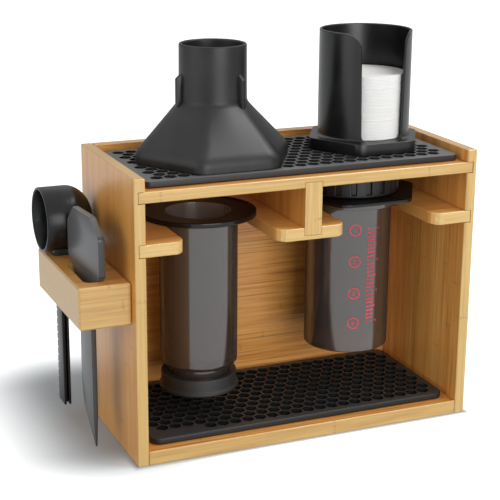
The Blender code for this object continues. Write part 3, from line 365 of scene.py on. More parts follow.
# %% Bamboo finish
def bamboo(name, grain, across, edges=(Y,), streaks=0.7, contrast=1.0, painted_light_lift=0.0, seed=0.0):
    """Strips along one axis: a lot for each strip and stretched noise add up to a tone. Contrast stretches
    it about its middle, and the painted light lift raises it on boards that the lamps leave too dark. Thin
    noise above a level gives dark fibres.
    Where a face looks along one of the edge axes, the paler tones of the cut edge take over."""
    finish = Finish(name, Coat_Weight=0.5, Coat_Roughness=0.28)
    axes = finish.places()
    along, wide, deep = axes[grain], axes[across], axes[X + Y + Z - grain - across]

    def grained(rates, third, detail=2.0):
        slow, quick = rates
        return finish.noise(finish.vector(along * slow, wide * quick, third), 1.0, detail)

    def layer(rates, shift, detail=2.0):
        return grained(rates, deep * rates[1] + shift, detail)

    sway = grained(SWAY_RATES, seed, 1.0) - 0.5
    strip = ((wide + sway * STRIP_SWAY + seed * STRIP_SHIFT) / STRIP).floor()
    own = finish.lot(finish.vector(strip, seed, (deep / STRIP_DEPTH).floor()))
    broad = layer(BROAD_RATES, seed)
    fine = layer(FINE_RATES, seed, 3.0)
    thin = layer(THIN_RATES, seed * 2)
    dark = layer(DARK_RATES, -seed)
    sawn = abs(finish.facing(grain)).between(*SAWN_STEP)
    tone = own * STRIP_SHARE + broad * BROAD_SHARE + fine * FINE_SHARE + thin * THIN_SHARE - TONE_OFF
    tone = TONE_MIDDLE + painted_light_lift + (tone - TONE_MIDDLE) * contrast
    tone = tone + sawn * (0.5 - tone) * SAWN_EVEN
    node_place = (along / NODE_STEP + own * NODE_SHIFT).part()
    ragged = grained(RAGGED_RATES, deep).between(*RAGGED_STEP)
    scar = abs(node_place - 0.5).between(*SCAR_STEP) * ragged * SCAR_SHOW * (1 - sawn)
    fibre = dark.between(*DARK_STEP) * 0.7 + thin.between(*THIN_STEP) * 0.3
    fibre = fibre * streaks * (1 - sawn)

    def toned(tones):
        light, middle, dark_tone = tones
        colour = finish.mix(tone.between(*DARK_TO_MIDDLE), dark_tone, middle)
        return finish.mix(tone.between(*MIDDLE_TO_LIGHT), colour, light)

    colour = toned(FACE_TONES)
    for axis in edges:
        on_edge = abs(finish.facing(axis)).between(*EDGE_STEP)
        colour = finish.mix(on_edge, colour, toned(EDGE_TONES))
        fibre = fibre * (1 - on_edge * EDGE_QUIET)
    colour = finish.mix(fibre, colour, FIBRE)
    finish.feed("Base Color", finish.mix(scar, colour, FIBRE))
    finish.feed("Roughness", 0.34 + thin * 0.16)
    finish.bump(thin * 0.7 + scar, 0.05, 0.4)
    return finish


def dress(finish, *names):
    """Give CAD nodes one finish in place of all that they have."""
    for name in names:
        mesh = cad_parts[name].data
        mesh.materials.clear()
        mesh.materials.append(finish.material)
    print(finish.material.name, "on", ", ".join(names))


# The lift is painted light: the same bamboo is made lighter on the left panel, more on the right panel and
# most on the rails, where the lamps leave it too dark.
left_bamboo = bamboo("bamboo_left", Z, Y, edges=(Y, Z), streaks=0.2, contrast=0.6, painted_light_lift=0.05, seed=2.0)
dress(bamboo("bamboo_back", X, Z, edges=(X, Z), streaks=0.75, seed=1.0), "back_panel")
dress(left_bamboo, "left_side_panel")
dress(bamboo("bamboo_right", Z, Y, edges=(Y, Z), painted_light_lift=0.12, seed=3.0), "right_side_panel")
dress(bamboo("bamboo_shelf", X, Y, seed=4.0), "top_shelf", "bottom_board")
dress(bamboo("bamboo_rails", X, Y, painted_light_lift=0.3, seed=5.0), "left_rail", "right_rail", "centre_rail")
dress(bamboo("bamboo_divider", Z, Y, seed=6.0), "centre_divider")
dress(bamboo("bamboo_block", X, Z, edges=(X, Y), seed=7.0), "tool_block")

# %% [markdown]
# ## Dowels and screws
# The dowels and screws sit inside the joints and keep the frame's shapes. The dowels are rods of
# the same bamboo. The screws are bright steel, and noise squeezed along two axes gives them the
# fine bands that turning leaves.

# %% Dowels and screws
BAND_SQUEEZE = 4
steel = Finish("screw_steel", Metallic=1.0)
steel_x, steel_y, steel_z = steel.places()
bands = steel.noise(steel.vector(steel_x, steel_y * BAND_SQUEEZE, steel_z * BAND_SQUEEZE), 1.2)
steel.feed("Base Color", steel.mix(bands, srgb(150, 148, 144), srgb(196, 194, 190)))
steel.feed("Roughness", 0.28 + bands * 0.16)
steel.bump(bands, 0.02, 0.4)
dowel_wood = bamboo("dowel_wood", Y, X, streaks=0.4, seed=8.0)
dress(dowel_wood, *[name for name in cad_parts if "dowel" in name])
dress(steel, *[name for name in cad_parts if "screw" in name])

# %% [markdown]
# ## Surfaces from numbers
# The moulded pieces are turned, lofted or drawn along a line. Each is a grid of points: one
# parameter runs round the piece and the other along its profile. Rounded corners matter most,
# because a real moulding has no sharp edge and the highlight sits on the round. So profiles are
# drawn with sharp corners first, and one helper rounds them all.

# %% Outline helpers
LEAST_ROUND = 0.05
AROUND = 120
TURN = 2 * np.pi


def fillet(points, radii, steps=5, closed=True):
    """Round the corners of an outline. Each arc's centre lies on the corner's bisector, at
    radius / sin(half the corner's angle), and its points swing evenly from one side to the other."""
    points = np.array(points, float)
    radii = np.maximum(np.broadcast_to(np.array(radii, float), len(points)), LEAST_ROUND)[:, None]
    before = np.roll(points, 1, 0) - points
    after = np.roll(points, -1, 0) - points
    before /= np.linalg.norm(before, axis=1)[:, None]
    after /= np.linalg.norm(after, axis=1)[:, None]
    middle = before + after
    middle /= np.linalg.norm(middle, axis=1)[:, None]
    half = np.arccos(np.clip((before * middle).sum(1), -1, 1))[:, None]
    centre = points + middle * radii / np.sin(half)
    start = points + before * radii / np.tan(half) - centre
    end = points + after * radii / np.tan(half) - centre
    turn = (np.pi - 2 * half)[:, None]
    share = np.linspace(0, 1, steps)[None, :, None]
    swing = np.sin((1 - share) * turn) * start[:, None] + np.sin(share * turn) * end[:, None]
    arcs = centre[:, None] + swing / np.sin(turn)
    if not closed:
        return np.vstack([points[:1], arcs[1:-1].reshape(-1, 2), points[-1:]])
    return arcs.reshape(-1, 2)


def rounded(corners, steps=5, closed=True):
    """Round an outline whose corners are written as (across, up, round)."""
    corners = np.array(corners, float)
    return fillet(corners[:, :2], corners[:, 2], steps, closed)


def angles(count=AROUND):
    """Even angles round a circle, starting at +X and going towards the back."""
    return np.arange(count) * TURN / count


def arc(radius, around):
    """Flat points round the middle: (radius cos a, radius sin a)."""
    return np.stack([radius * np.cos(around), radius * np.sin(around)], -1)


def hexagon_reach(around, corner_radius, corner_round):
    """Distance from the middle to the edge of a hexagon with rounded corners, corners at 0, 60 ...
    degrees. Along a flat it is the apothem over the cosine, round a corner it is the far side of
    the corner's circle."""
    sixth = np.pi / 6
    flat = corner_radius * np.cos(sixth)
    off = np.abs((around % (2 * sixth)) - sixth)
    centre = (flat - corner_round) / np.cos(sixth)
    near = sixth - off
    over = corner_round ** 2 - (centre * np.sin(near)) ** 2
    round_part = centre * np.cos(near) + np.sqrt(np.maximum(over, 0))
    on_flat = flat * np.tan(off) <= (flat - corner_round) * np.tan(sixth)
    return np.where(on_flat, flat / np.cos(off), round_part)


print("a rounded square has", len(fillet(rectangle(0, 0, 1, 1), 0.2)), "points")

# %% [markdown]
# A grid of rings becomes a skin: each ring is joined to the next, and the two ends are joined to
# each other or closed by a fan. A piece may have several skins, such as a tube and its lugs, which
# overlap a little as separate closed bodies. That is simpler than cutting them together, and the
# eye sees no difference.

# %% Skin helpers
SHARP_ANGLE = math.radians(35)
EDGE_STEPS = 4


def shell(grid, closed=False, caps=True):
    """Vertices and faces of a skin over rings of points. A closed skin joins its last ring to its
    first. Any other gets a fan to the middle of its two end rings, unless it has no caps."""
    rows, columns = grid.shape[:2]
    points = [grid.reshape(-1, 3)]
    index = np.arange(rows * columns).reshape(rows, columns)
    index = np.hstack([index, index[:, :1]])
    if closed:
        index = np.vstack([index, index[:1]])
    quads = np.stack([index[:-1, :-1], index[:-1, 1:], index[1:, 1:], index[1:, :-1]], -1)
    faces = quads.reshape(-1, 4).tolist()
    if caps and not closed:
        points += [grid[:1].mean(1), grid[-1:].mean(1)]
        first, last = index[0], index[-1]
        poles = np.full(columns, rows * columns)
        faces += np.stack([first[1:], first[:-1], poles], -1).tolist()
        faces += np.stack([last[:-1], last[1:], poles + 1], -1).tolist()
    return np.vstack(points), faces


def ringed(reach, around, height):
    """Rings round the Z axis: the point at angle a is (reach cos a, reach sin a, height)."""
    x, y = reach * np.cos(around), reach * np.sin(around)
    return np.stack([x, y, np.broadcast_to(height, x.shape)], -1)


def turned(profile, count=AROUND):
    """A turned surface: the point (r, z) of the profile goes round to (r cos a, r sin a, z)."""
    radius, height = np.array(profile, float).T
    return ringed(radius[:, None], angles(count), height[:, None])


def drawn(outline, heights, insets=None):
    """An upright prism: the outline (x, y) repeated at each height, pulled in by an inset that
    moves each point square to the line between its two neighbours."""
    outline = np.array(outline, float)
    insets = np.zeros(len(heights)) if insets is None else np.array(insets, float)
    side = np.roll(outline, -1, 0) - np.roll(outline, 1, 0)
    out = np.stack([side[:, 1], -side[:, 0]], 1) / np.linalg.norm(side, axis=1)[:, None]
    rings = outline[None] - insets[:, None, None] * out[None]
    z = np.broadcast_to(np.array(heights, float)[:, None, None], (*rings.shape[:2], 1))
    return np.concatenate([rings, z], -1)


def quarter_round(edge, steps=EDGE_STEPS):
    """A quarter circle from a slab's face to its side, as the distance in from the side,
    edge (1 - sin t), and the distance from the face, edge (1 - cos t)."""
    swing = np.linspace(0, np.pi / 2, steps)
    return edge * (1 - np.sin(swing)), edge * (1 - np.cos(swing))


def soft_slab(outline, low, high, edge):
    """A slab between two heights whose top and bottom edges are rounded by a quarter circle."""
    inset, rise = quarter_round(edge)
    heights = np.concatenate([low + rise, high - rise[::-1]])
    return shell(drawn(outline, heights, np.concatenate([inset, inset[::-1]])))


def spun(points, angle):
    """Points turned round the Z axis: (x cos a - y sin a, x sin a + y cos a, z)."""
    cos, sin = math.cos(angle), math.sin(angle)
    return points @ np.array([[cos, sin, 0], [-sin, cos, 0], [0, 0, 1]])


def piece(name, skins, place, body, finish, node=None, flat=False):
    """One object from several skins that face outwards, set at its place, in metres."""
    points, faces, count = [], [], 0
    for skin_points, skin_faces in skins:
        points.append(skin_points + np.array(place, float))
        faces += [[corner + count for corner in face] for face in skin_faces]
        count += len(skin_points)
    mesh = bpy.data.meshes.new(name)
    mesh.from_pydata(np.vstack(points) * MM, [], faces)
    mesh.polygons.foreach_set("use_smooth", [not flat] * len(faces))
    mesh.validate()
    obj = bpy.data.objects.new(name, mesh)
    bpy.context.scene.collection.objects.link(obj)
    if not flat:
        mesh.set_sharp_from_angle(angle=SHARP_ANGLE)
    mesh.materials.append(finish.material)
    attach(obj, body)
    if node:
        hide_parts(node)
    print(f"{name}: {len(faces)} faces")


print("a turned tube wall of two rings has", len(shell(turned([(1, 0), (1, 1)]))[1]), "faces")

# %% [markdown]
# ## Black mouldings
# The funnel, filter holder, cap and scoop are black polypropylene with a fine spark-eroded
# texture: dark, slightly warm, with a wide dull highlight. Two sizes of noise vary the gloss and a
# very shallow bump breaks up the highlight, so the piece reads as moulded rather than painted.
# The funnel and the cap are matt, and the holder and the scoop are darker and glossier.

# %% Black plastic
HANDLING_RATE = 0.045
HANDLING_STEP = (0.35, 0.8)
HANDLING_GLOSS = 0.1
TEXTURE_GLOSS = 0.06
TEXTURE_STRENGTH = 0.6


def lightened(colour, gain, more=0.0):
    """A colour made lighter: each part times the gain plus a little more, and 1 at most."""
    return (*(min(1.0, part * gain + more) for part in colour[:3]), 1.0)


def moulded(name, colour, rough, grain=1.6, depth=0.02, **fixed):
    """Moulded plastic: fine noise for the texture's bump, broad noise for handling marks. Where
    the colour is None, the caller feeds one."""
    finish = Finish(name, **fixed)
    where = finish.vector(*finish.places())
    fine = finish.noise(where, grain)
    broad = finish.noise(where, HANDLING_RATE, 3.0)
    if colour:
        worn = lightened(colour, 1.5, 0.004)
        finish.feed("Base Color", finish.mix(broad.between(*HANDLING_STEP), colour, worn))
    finish.feed("Roughness", rough + (broad - 0.5) * HANDLING_GLOSS + (fine - 0.5) * TEXTURE_GLOSS)
    finish.bump(fine, depth, TEXTURE_STRENGTH)
    return finish


black_plastic = moulded("black_plastic", srgb(22, 21, 21), 0.42, Specular_IOR_Level=0.4)
gloss_plastic = moulded("gloss_plastic", srgb(14, 13, 13), 0.3)
print("black plastic is ready, matt and glossy")

# %% [markdown]
# ## Funnel
# The funnel stands mouth down on the mat: a hexagonal skirt that lofts into a round neck, with
# three fins that centre it on a mug. A cone cut with planes would leave hard creases. Here each
# ring blends the hexagon's reach into the neck's radius by the share of the height, which gives
# the real one's flats that fade out upwards.

# %% Funnel skins
# Pieces that rest on each other are kept this far apart.
FIT = 0.3
MAT_THICKNESS = 4.7
UPPER_MAT_LOW = 202.6
MAT_TOP = UPPER_MAT_LOW + MAT_THICKNESS + FIT
COS_30 = math.cos(math.pi / 6)
FUNNEL_PLACE = (-52.3, 1.4, MAT_TOP)
FUNNEL_CORNER = 106.7 / 2 / COS_30
FUNNEL_ROUND = 13.0
FUNNEL_NECK = 24.7
FUNNEL_WALL = 2.4
FUNNEL_TOP = 83.9
BAND = 8.0
SKIRT = 34.5
SHOULDER = BAND + SKIRT
# The bends' ends: as shares of the skirt, and as lengths of the band and of the neck.
LOW_BEND, HIGH_BEND = 0.13, 0.92
BAND_BEND, NECK_BEND = 4.4, 2.6
MOUTH_EASE = 0.25
MOUTH_EASE_HEIGHT = 0.3
NECK_FOOT_FLARE = 0.3
# How much closer to the axis than the neck's foot its rings lie, and each skin's last two.
NECK_TAPER = (0.1, 0.2, 0.28)
OUTER_RIM = (0.34, 0.62)
INNER_RIM = (0.2, -0.2)
RIM_LEVELS = (1.2, 0.6, 0)
LIP_RISE = 0.3


def bend(start, knee, end, share):
    """A soft bend from start to end, drawn towards the knee: the quadratic Bezier curve
    (1 - s)^2 start + 2 s (1 - s) knee + s^2 end."""
    return start * (1 - share) ** 2 + knee * 2 * share * (1 - share) + end * share ** 2


def funnel_skin(inset, ease, rim):
    """Rings of the funnel from mouth to rim: hexagon below, then a straight blend into the neck
    between two soft bends. The skin lies inwards by the inset, and the ease and the rim turn its
    two ends towards the other skin."""
    around = angles(180)
    foot = hexagon_reach(around, FUNNEL_CORNER - inset / COS_30, FUNNEL_ROUND - inset)
    neck = FUNNEL_NECK + NECK_FOOT_FLARE - inset
    straight = np.linspace(LOW_BEND, HIGH_BEND, 20)
    along = np.linspace(0, 1, 9)[:-1]
    low_shares = bend(0, 0, LOW_BEND, along)
    high_shares = bend(HIGH_BEND, 1, 1, along)[1:]
    shares = np.concatenate([[0, 0], low_shares, straight, high_shares, [1]])[:, None]
    loft = foot * (1 - shares) + neck * shares
    loft[0] -= ease
    tube = np.repeat(neck - np.array([*NECK_TAPER, *rim])[:, None], len(around), 1)
    heights = np.concatenate([
        [0, MOUTH_EASE_HEIGHT],
        bend(BAND - BAND_BEND, BAND, BAND + SKIRT * LOW_BEND, along),
        BAND + SKIRT * straight,
        bend(BAND + SKIRT * HIGH_BEND, SHOULDER, SHOULDER + NECK_BEND, along)[1:],
        [SHOULDER + NECK_BEND, SHOULDER + 10, SHOULDER + 26],
        FUNNEL_TOP - np.array(RIM_LEVELS),
    ])
    return ringed(np.vstack([loft, tube]), around, heights[:, None])


outer = funnel_skin(0, MOUTH_EASE, OUTER_RIM)
inner = funnel_skin(FUNNEL_WALL, -MOUTH_EASE, INNER_RIM)
lip = (outer[-1] + inner[-1]) / 2 + np.array([0, 0, LIP_RISE])
funnel_grid = np.concatenate([outer, lip[None], inner[::-1]])
print("the funnel's skin has", len(funnel_grid), "rings")

# %% Funnel
FIN_LOW = SHOULDER - 5.0
FIN_HEIGHT = 22.0
FIN_POINT = 5.0
FIN_SUNK = 1.2
FIN_PROUD = 4.1
FIN_HALF = 1.6
FIN_EDGE = 0.5


def fin(angle):
    """A fin against the neck: its outline stands on a radius and its free edges are rounded."""
    root, tip = FUNNEL_NECK - FIN_SUNK, FUNNEL_NECK + FIN_PROUD
    high = FIN_LOW + FIN_HEIGHT
    corners = [(root, FIN_LOW, 0), (tip, FIN_LOW, 1.2), (tip, high, 1.6), (root, high + FIN_POINT, 0)]
    points, faces = soft_slab(rounded(corners), -FIN_HALF, FIN_HALF, FIN_EDGE)
    return spun(points[:, [0, 2, 1]] * (1, -1, 1), angle), faces


fins = [fin(math.radians(60 + 120 * k)) for k in range(3)]
funnel_skins = [shell(funnel_grid, closed=True), *fins]
piece("funnel_moulding", funnel_skins, FUNNEL_PLACE, "funnel", black_plastic, "funnel")

# %% [markdown]
# ## Filter holder and papers
# The holder is an open tube on a hollow hexagonal foot. A window runs down its front, flared at
# the top. Cutting a window into a tube with a boolean leaves a sharp edge. Here every level is
# one closed ring: out along the outer arc, round the window's edge, back along the inner arc.

# %% Filter holder foot
HOLDER_PLACE = (72.0, 1.4, MAT_TOP)
HOLDER_TOP = 89.1
HOLDER_FOOT = 8.9
FOOT_FLOOR = 6.5
FOOT_CORNER = 46.4
FOOT_WALL = 2.2
FOOT_ROUND = 9.0
# A profile round the axis starts this far from it, and a fan closes the rest.
POLE = 0.5


def holder_foot():
    """The hollow foot: hexagonal rings from under its floor, out to the rim, up and over the top.
    The corners' round shrinks with the reach, so that the rings stay even towards the middle."""
    around = angles(144)
    cavity = FOOT_CORNER - FOOT_WALL
    corners = [
        (POLE, FOOT_FLOOR, 0), (cavity, FOOT_FLOOR, 1), (cavity, 0, 0.3), (FOOT_CORNER, 0, 0.3),
        (FOOT_CORNER, HOLDER_FOOT, 0.7), (POLE, HOLDER_FOOT, 0),
    ]
    rows = rounded(corners, closed=False)
    corner, height = rows[:, :1], rows[:, 1:]
    corner_round = np.clip(FOOT_ROUND - (FOOT_CORNER - corner), 0.2, FOOT_ROUND)
    corner_round = corner_round * np.clip(corner / 20, 0.01, 1)
    return shell(ringed(hexagon_reach(around, corner, corner_round), around, height))


print("the holder's foot has", len(holder_foot()[1]), "faces")

# %% Filter holder
HOLDER_OUTSIDE = 35.0
HOLDER_INSIDE = 33.0
HOLDER_MIDDLE = (HOLDER_OUTSIDE + HOLDER_INSIDE) / 2
TUBE_SUNK = 1
# The tube's levels: heights above its sunk end, evenly between, and depths below its rim.
LOW_LEVELS = (0, 1.0, 1.3, 1.8, 2.4, 3.2, 4.2, 5.5)
MIDDLE_LEVELS = (16, 74, 12)
HIGH_LEVELS = (12, 10, 8, 6.5, 5, 3.7, 2.6, 1.7, 1, 0.5, 0.2, 0.06, 0)
WINDOW_HALF = 17.0
WINDOW_SPREAD = 1.6
WINDOW_ROUND = 4
WINDOW_SWELL = 0.5
FLARE_HEIGHT = 12
FLARE = 11
ROOT_HEIGHT = 1.6
ROOT_SPREAD = 2.2
RIM_HEIGHT = 0.45
RIM_EASE = 0.5
ARC_STEPS = 90


def window_half(z):
    """Half the window's width at each height: it spreads evenly, its foot has round corners of
    radius r, as in r - sqrt(r^2 - rise^2), and its top flares out by a quarter ellipse."""
    above = z - HOLDER_FOOT
    rise = np.clip(WINDOW_ROUND - above, 0, WINDOW_ROUND)
    corner = WINDOW_ROUND - np.sqrt(np.maximum(WINDOW_ROUND ** 2 - rise ** 2, 0))
    flare = np.clip((z - (HOLDER_TOP - FLARE_HEIGHT)) / FLARE_HEIGHT, 0, 1)
    spread = WINDOW_SPREAD * above / (HOLDER_TOP - HOLDER_FOOT)
    return WINDOW_HALF + spread - corner + FLARE * (1 - np.sqrt(1 - flare ** 2))


def swollen(point, before):
    """A point moved on by the window's swell, away from the point before it."""
    step = point - before
    return point + WINDOW_SWELL * step / np.linalg.norm(step, axis=-1, keepdims=True)


def holder_tube():
    """The windowed tube: at each level the window's half width w spans the angle asin(w / r) on
    both sides of the front, and the wall's two arcs join in a closed ring."""
    low = HOLDER_FOOT - TUBE_SUNK + np.array(LOW_LEVELS)
    z = np.concatenate([low, np.linspace(*MIDDLE_LEVELS), HOLDER_TOP - np.array(HIGH_LEVELS)])
    root = np.clip(1 - (z - HOLDER_FOOT) / ROOT_HEIGHT, 0, 1)
    edge = np.clip(1 - (HOLDER_TOP - z) / RIM_HEIGHT, 0, 1) ** 2 * RIM_EASE
    outside_reach = HOLDER_OUTSIDE + ROOT_SPREAD * root ** 2 - edge
    start = np.arcsin(np.clip(window_half(z) / HOLDER_MIDDLE, -1, 1))[:, None]
    sweep = start + (TURN - 2 * start) * np.linspace(0, 1, ARC_STEPS) - np.pi / 2
    there = arc(outside_reach[:, None], sweep)
    again = arc((HOLDER_INSIDE + edge)[:, None], sweep[:, ::-1])
    nose = swollen((there[:, -1:] + again[:, :1]) / 2, there[:, -2:-1])
    tail = swollen((there[:, :1] + again[:, -1:]) / 2, there[:, 1:2])
    ring = np.concatenate([there, nose, again, tail], 1)
    grid = np.concatenate([ring, np.broadcast_to(z[:, None, None], (*ring.shape[:2], 1))], -1)
    points, faces = shell(grid, caps=False)
    near = np.arange(ARC_STEPS - 1)
    far_side = 2 * ARC_STEPS - near
    strip = np.stack([near, near + 1, far_side - 1, far_side], -1)
    ends = np.array([(-1, 0, 1), (-ARC_STEPS, ARC_STEPS, ARC_STEPS + 1)]) + ARC_STEPS
    last = len(points) - grid.shape[1]
    faces += (strip + last).tolist() + (ends + last).tolist()
    faces += strip[:, [1, 0, 3, 2]].tolist() + ends[:, ::-1].tolist()
    return points, faces


holder_skins = [holder_foot(), holder_tube()]
piece(
    "filter_holder_moulding", holder_skins, HOLDER_PLACE, "filter_holder", gloss_plastic,
    "filter_holder",
)

# %% [markdown]
# The papers are a stack of some 350 thin discs. The sheets never line up, so the stack's side is
# a set of thin layers, each drawn with its own small reach and slid a little to one side. Fine
# lines in the finish stand for the sheets inside a layer.

# %% Filter papers
PAPER_PLACE = (HOLDER_PLACE[0], HOLDER_PLACE[1], MAT_TOP + HOLDER_FOOT)
PAPER_REACH = 30.45
PAPER_HIGH = 48.3
LAYERS = 44
LAYER_EASE = 0.12
LAYER_EASE_HEIGHT = 0.1
REACH_SPREAD = 0.07
SLIDE_SPREAD = 0.09
SHEET = 0.22

paper = Finish("filter_paper", Roughness=0.95, Specular_IOR_Level=0.2)
paper_x, paper_y, paper_z = paper.places()
crepe = paper.noise(paper.vector(paper_x, paper_y, paper_z * 3), 1.1, 3.0)
sheets = paper.lot(paper.vector((paper_z / SHEET).floor(), 0.0, 0.0))
paper.feed("Base Color", paper.mix(sheets * 0.5 + crepe * 0.4, srgb(226, 225, 222), srgb(238, 237, 235)))
paper.bump(sheets * 0.6 + crepe * 0.4, 0.05, 0.6)

draws = np.random.default_rng(4)
levels = np.linspace(FIT, PAPER_HIGH, LAYERS + 1)
reach = PAPER_REACH + draws.uniform(-REACH_SPREAD, REACH_SPREAD, LAYERS)
slide = draws.uniform(-SLIDE_SPREAD, SLIDE_SPREAD, (LAYERS, 2))
low, high = levels[:-1], levels[1:]
radius = np.stack([reach - LAYER_EASE, reach, reach, reach - LAYER_EASE], 1).ravel()
height = np.stack([low, low + LAYER_EASE_HEIGHT, high - LAYER_EASE_HEIGHT, high], 1).ravel()
stack = turned(np.stack([radius, height], 1), 96)
stack[:, :, :2] += np.repeat(slide, 4, 0)[:, None]
piece("paper_stack", [shell(stack)], PAPER_PLACE, "paper_filters", paper, "paper_filters")

# %% [markdown]
# ## Smoke-grey tubes
# The plunger and the chamber are clear plastic tinted with smoke. From outside they look dark
# brown-grey, with long soft reflections, and they let a little of what is behind show through. A
# full refraction shader would need the light to pass four walls. A dark, glossy surface with some
# alpha gives the same look, renders cleanly and survives the export. A thick wall seen edge-on
# swallows its own reflections, so there the coat fades and the surface turns rougher.

# %% Smoke plastic
HANG = 165.2
SMOKE = srgb(56, 47, 43)
LIT_SMOKE = srgb(128, 112, 104)
THICK_AND_SHADED_SMOKE = srgb(18, 16, 15)
CLEAR = 0.8
BORE_STEP = (HANG - 114, HANG - 112)
RIM_STEP = (0.45, 0.8)
RIM_ROUGH = 0.4
COAT_FADE = 0.9


def smoke(name, middle, bore, brim):
    """Tinted clear plastic: alpha lets the background through, a coat carries the reflections.
    Inside the bore's radius the wall catches the light from above, and from the brim's height up the flange
    is too deep to see through. Its darkest smoke there is partly the thick wall's tint and partly painted
    shade under the shelf."""
    finish = Finish(name, Coat_Weight=1.0, Coat_Roughness=0.12, Coat_IOR=2.0, Specular_IOR_Level=0.25)
    x, y, z = finish.places()
    off_x, off_y = x - middle[0], y - middle[1]
    reach = (off_x * off_x + off_y * off_y) ** 0.5
    lit = reach.between(bore + 0.6, bore + 0.2) * z.between(*BORE_STEP)
    deep = z.between(brim - 0.6, brim) * reach.between(bore + 0.4, bore + 1.4)
    edge_on = finish.node("ShaderNodeLayerWeight", inputs={"Blend": 0.5}, output="Facing")
    rim = edge_on.between(*RIM_STEP)
    broad = finish.noise(finish.vector(x, y, z * 0.4), 0.05)
    cloud = finish.noise(finish.vector(x, y, z), 0.6)
    shade = finish.mix(lit, finish.mix(broad, SMOKE, lightened(SMOKE, 1.35)), LIT_SMOKE)
    # Partly the thick flange's own tint and partly painted shade under the shelf: the flange gets the
    # darkest smoke.
    finish.feed("Base Color", finish.mix(deep, shade, THICK_AND_SHADED_SMOKE))
    finish.feed("Roughness", 0.16 + (cloud - 0.5) * 0.05 + rim * RIM_ROUGH)
    finish.feed("Coat Weight", 1 - (deep * COAT_FADE).at_least(rim * COAT_FADE))
    see = CLEAR + (broad - 0.5) * 0.06
    finish.feed("Alpha", see + deep * (1 - see))
    finish.bump(broad, 0.05, 0.3)
    return finish


print("smoke plastic is ready to mix")

# %% [markdown]
# ## Plunger and seal
# The plunger hangs by its flange between two rails. It is a turned shape from rim to boss, and
# its profile is followed down the outside and back up the bore, so the wall is real and the rim
# shows its thickness. The rubber seal below it is a tapered cup with a proud lip.

# %% Plunger and seal
PLUNGER_PLACE = (-63.5, 3.0, HANG)
PLUNGER_BORE = 24.3
# Each corner's radius, height below or above the flange, and round.
PLUNGER_CORNERS = (
    (POLE, -130.7, 0), (23.0, -130.7, 0.5), (23.0, -116.7, 0.6), (29.65, -116.7, 4), (29.65, 0, 0.5),
    (43.5, 0, 0.5), (43.5, 3.6, 0.5), (40.9, 3.6, 0.3), (40.9, 2.7, 0.3), (PLUNGER_BORE, 2.7, 0.8),
    (PLUNGER_BORE, -112.7, 4), (POLE, -112.7, 0),
)
SEAL_CORNERS = (
    (POLE, -137.7, 0), (28.9, -136.6, 1.2), (30.4, -135.2, 0.6), (30.3, -133.6, 0.5), (28.9, -132.2, 1),
    (28.9, -123.0, 0.8), (23.1, -123.0, 0.4), (23.1, -131.0, 0.3), (POLE, -131.0, 0),
)


def hung(name, corners, finish, node):
    """A turned piece of the plunger, from its corners."""
    skin = shell(turned(rounded(corners, closed=False)))
    piece(name, [skin], PLUNGER_PLACE, "plunger", finish, node)


smoke_plunger = smoke("smoke_plunger", PLUNGER_PLACE, PLUNGER_BORE, HANG)
seal_rubber = moulded("seal_rubber", srgb(34, 32, 31), 0.55, grain=2.4, depth=0.015)
hung("plunger_tube", PLUNGER_CORNERS, smoke_plunger, "plunger")
hung("plunger_seal_moulding", SEAL_CORNERS, seal_rubber, "plunger_seal")

# %% [markdown]
# ## Chamber
# The chamber is one moulding: a tube, a round support ring, a hexagonal flange and a collar with
# four bayonet lugs. Round and hexagonal parts share one grid, because each ring may take its
# reach either from a circle or from the rounded hexagon. The lugs are small slabs that stand out
# of the collar, and each is a sector of a ring.

# %% Chamber
CHAMBER_PLACE = (62.3, 3.0, HANG)
CHAMBER_BORE = 30.8
CHAMBER_REACH = 33.1
SUPPORT_REACH = 40.0
FLANGE_LOW = 5.6
FLANGE_CORNER = 56.5
FLANGE_ROUND = 11
CHAMBER_CORNERS = (
    (CHAMBER_BORE, -116, 0.4), (CHAMBER_REACH, -116, 0.8), (CHAMBER_REACH, 0, 1), (SUPPORT_REACH, 0, 0.5),
    (SUPPORT_REACH, FLANGE_LOW, 0.3), (FLANGE_CORNER, FLANGE_LOW, 0.4), (FLANGE_CORNER, 8.1, 0.4),
    (32.6, 8.1, 0.6), (32.6, 22.1, 0.4), (CHAMBER_BORE, 22.1, 0.4),
)
LUGS = 4
LUG_HALF_SWEEP = 0.349
LUG_EDGE = 0.3


def chamber_grid():
    """Rings from the mouth up the outside, over the collar and down the bore. The reach of a ring
    is its radius, and past the support ring it is the hexagon of that corner radius."""
    around = angles(240)
    rows = rounded(CHAMBER_CORNERS)
    radius, height = rows[:, :1], rows[:, 1:]
    corner_round = np.clip(FLANGE_ROUND - (FLANGE_CORNER - radius), 1, FLANGE_ROUND)
    hexagon = hexagon_reach(around, radius, corner_round)
    is_flange = radius > SUPPORT_REACH + 0.5
    return ringed(np.where(is_flange, hexagon, radius), around, height)


def bayonet_lugs(outside_radius, inside_radius, low, high):
    """Soft slabs in the shape of ring sectors: out along one arc and back along the other."""
    lugs = []
    for k in range(LUGS):
        sweep = np.linspace(-LUG_HALF_SWEEP, LUG_HALF_SWEEP, 12) + k * TURN / LUGS
        outline = np.vstack([arc(outside_radius, sweep), arc(inside_radius, sweep)[::-1]])
        lugs.append(soft_slab(outline, low, high, LUG_EDGE))
    return lugs


smoke_chamber = smoke("smoke_chamber", CHAMBER_PLACE, CHAMBER_BORE, HANG + 6.2)
chamber_skins = [shell(chamber_grid(), closed=True), *bayonet_lugs(34.6, 31.6, 16.1, 19.1)]
piece("chamber_tube", chamber_skins, CHAMBER_PLACE, "chamber", smoke_chamber, "chamber")

# %% [markdown]
# The chamber carries a printed scale: four ringed numbers up its front, 1 next to the cap. They
# stand on their heads here, because the chamber hangs mouth down. Beside them runs a plain column
# of level marks. Print is a film of ink, so rings, digits and marks are drawn flat first and then
# bent round the tube: across becomes angle, up stays height.

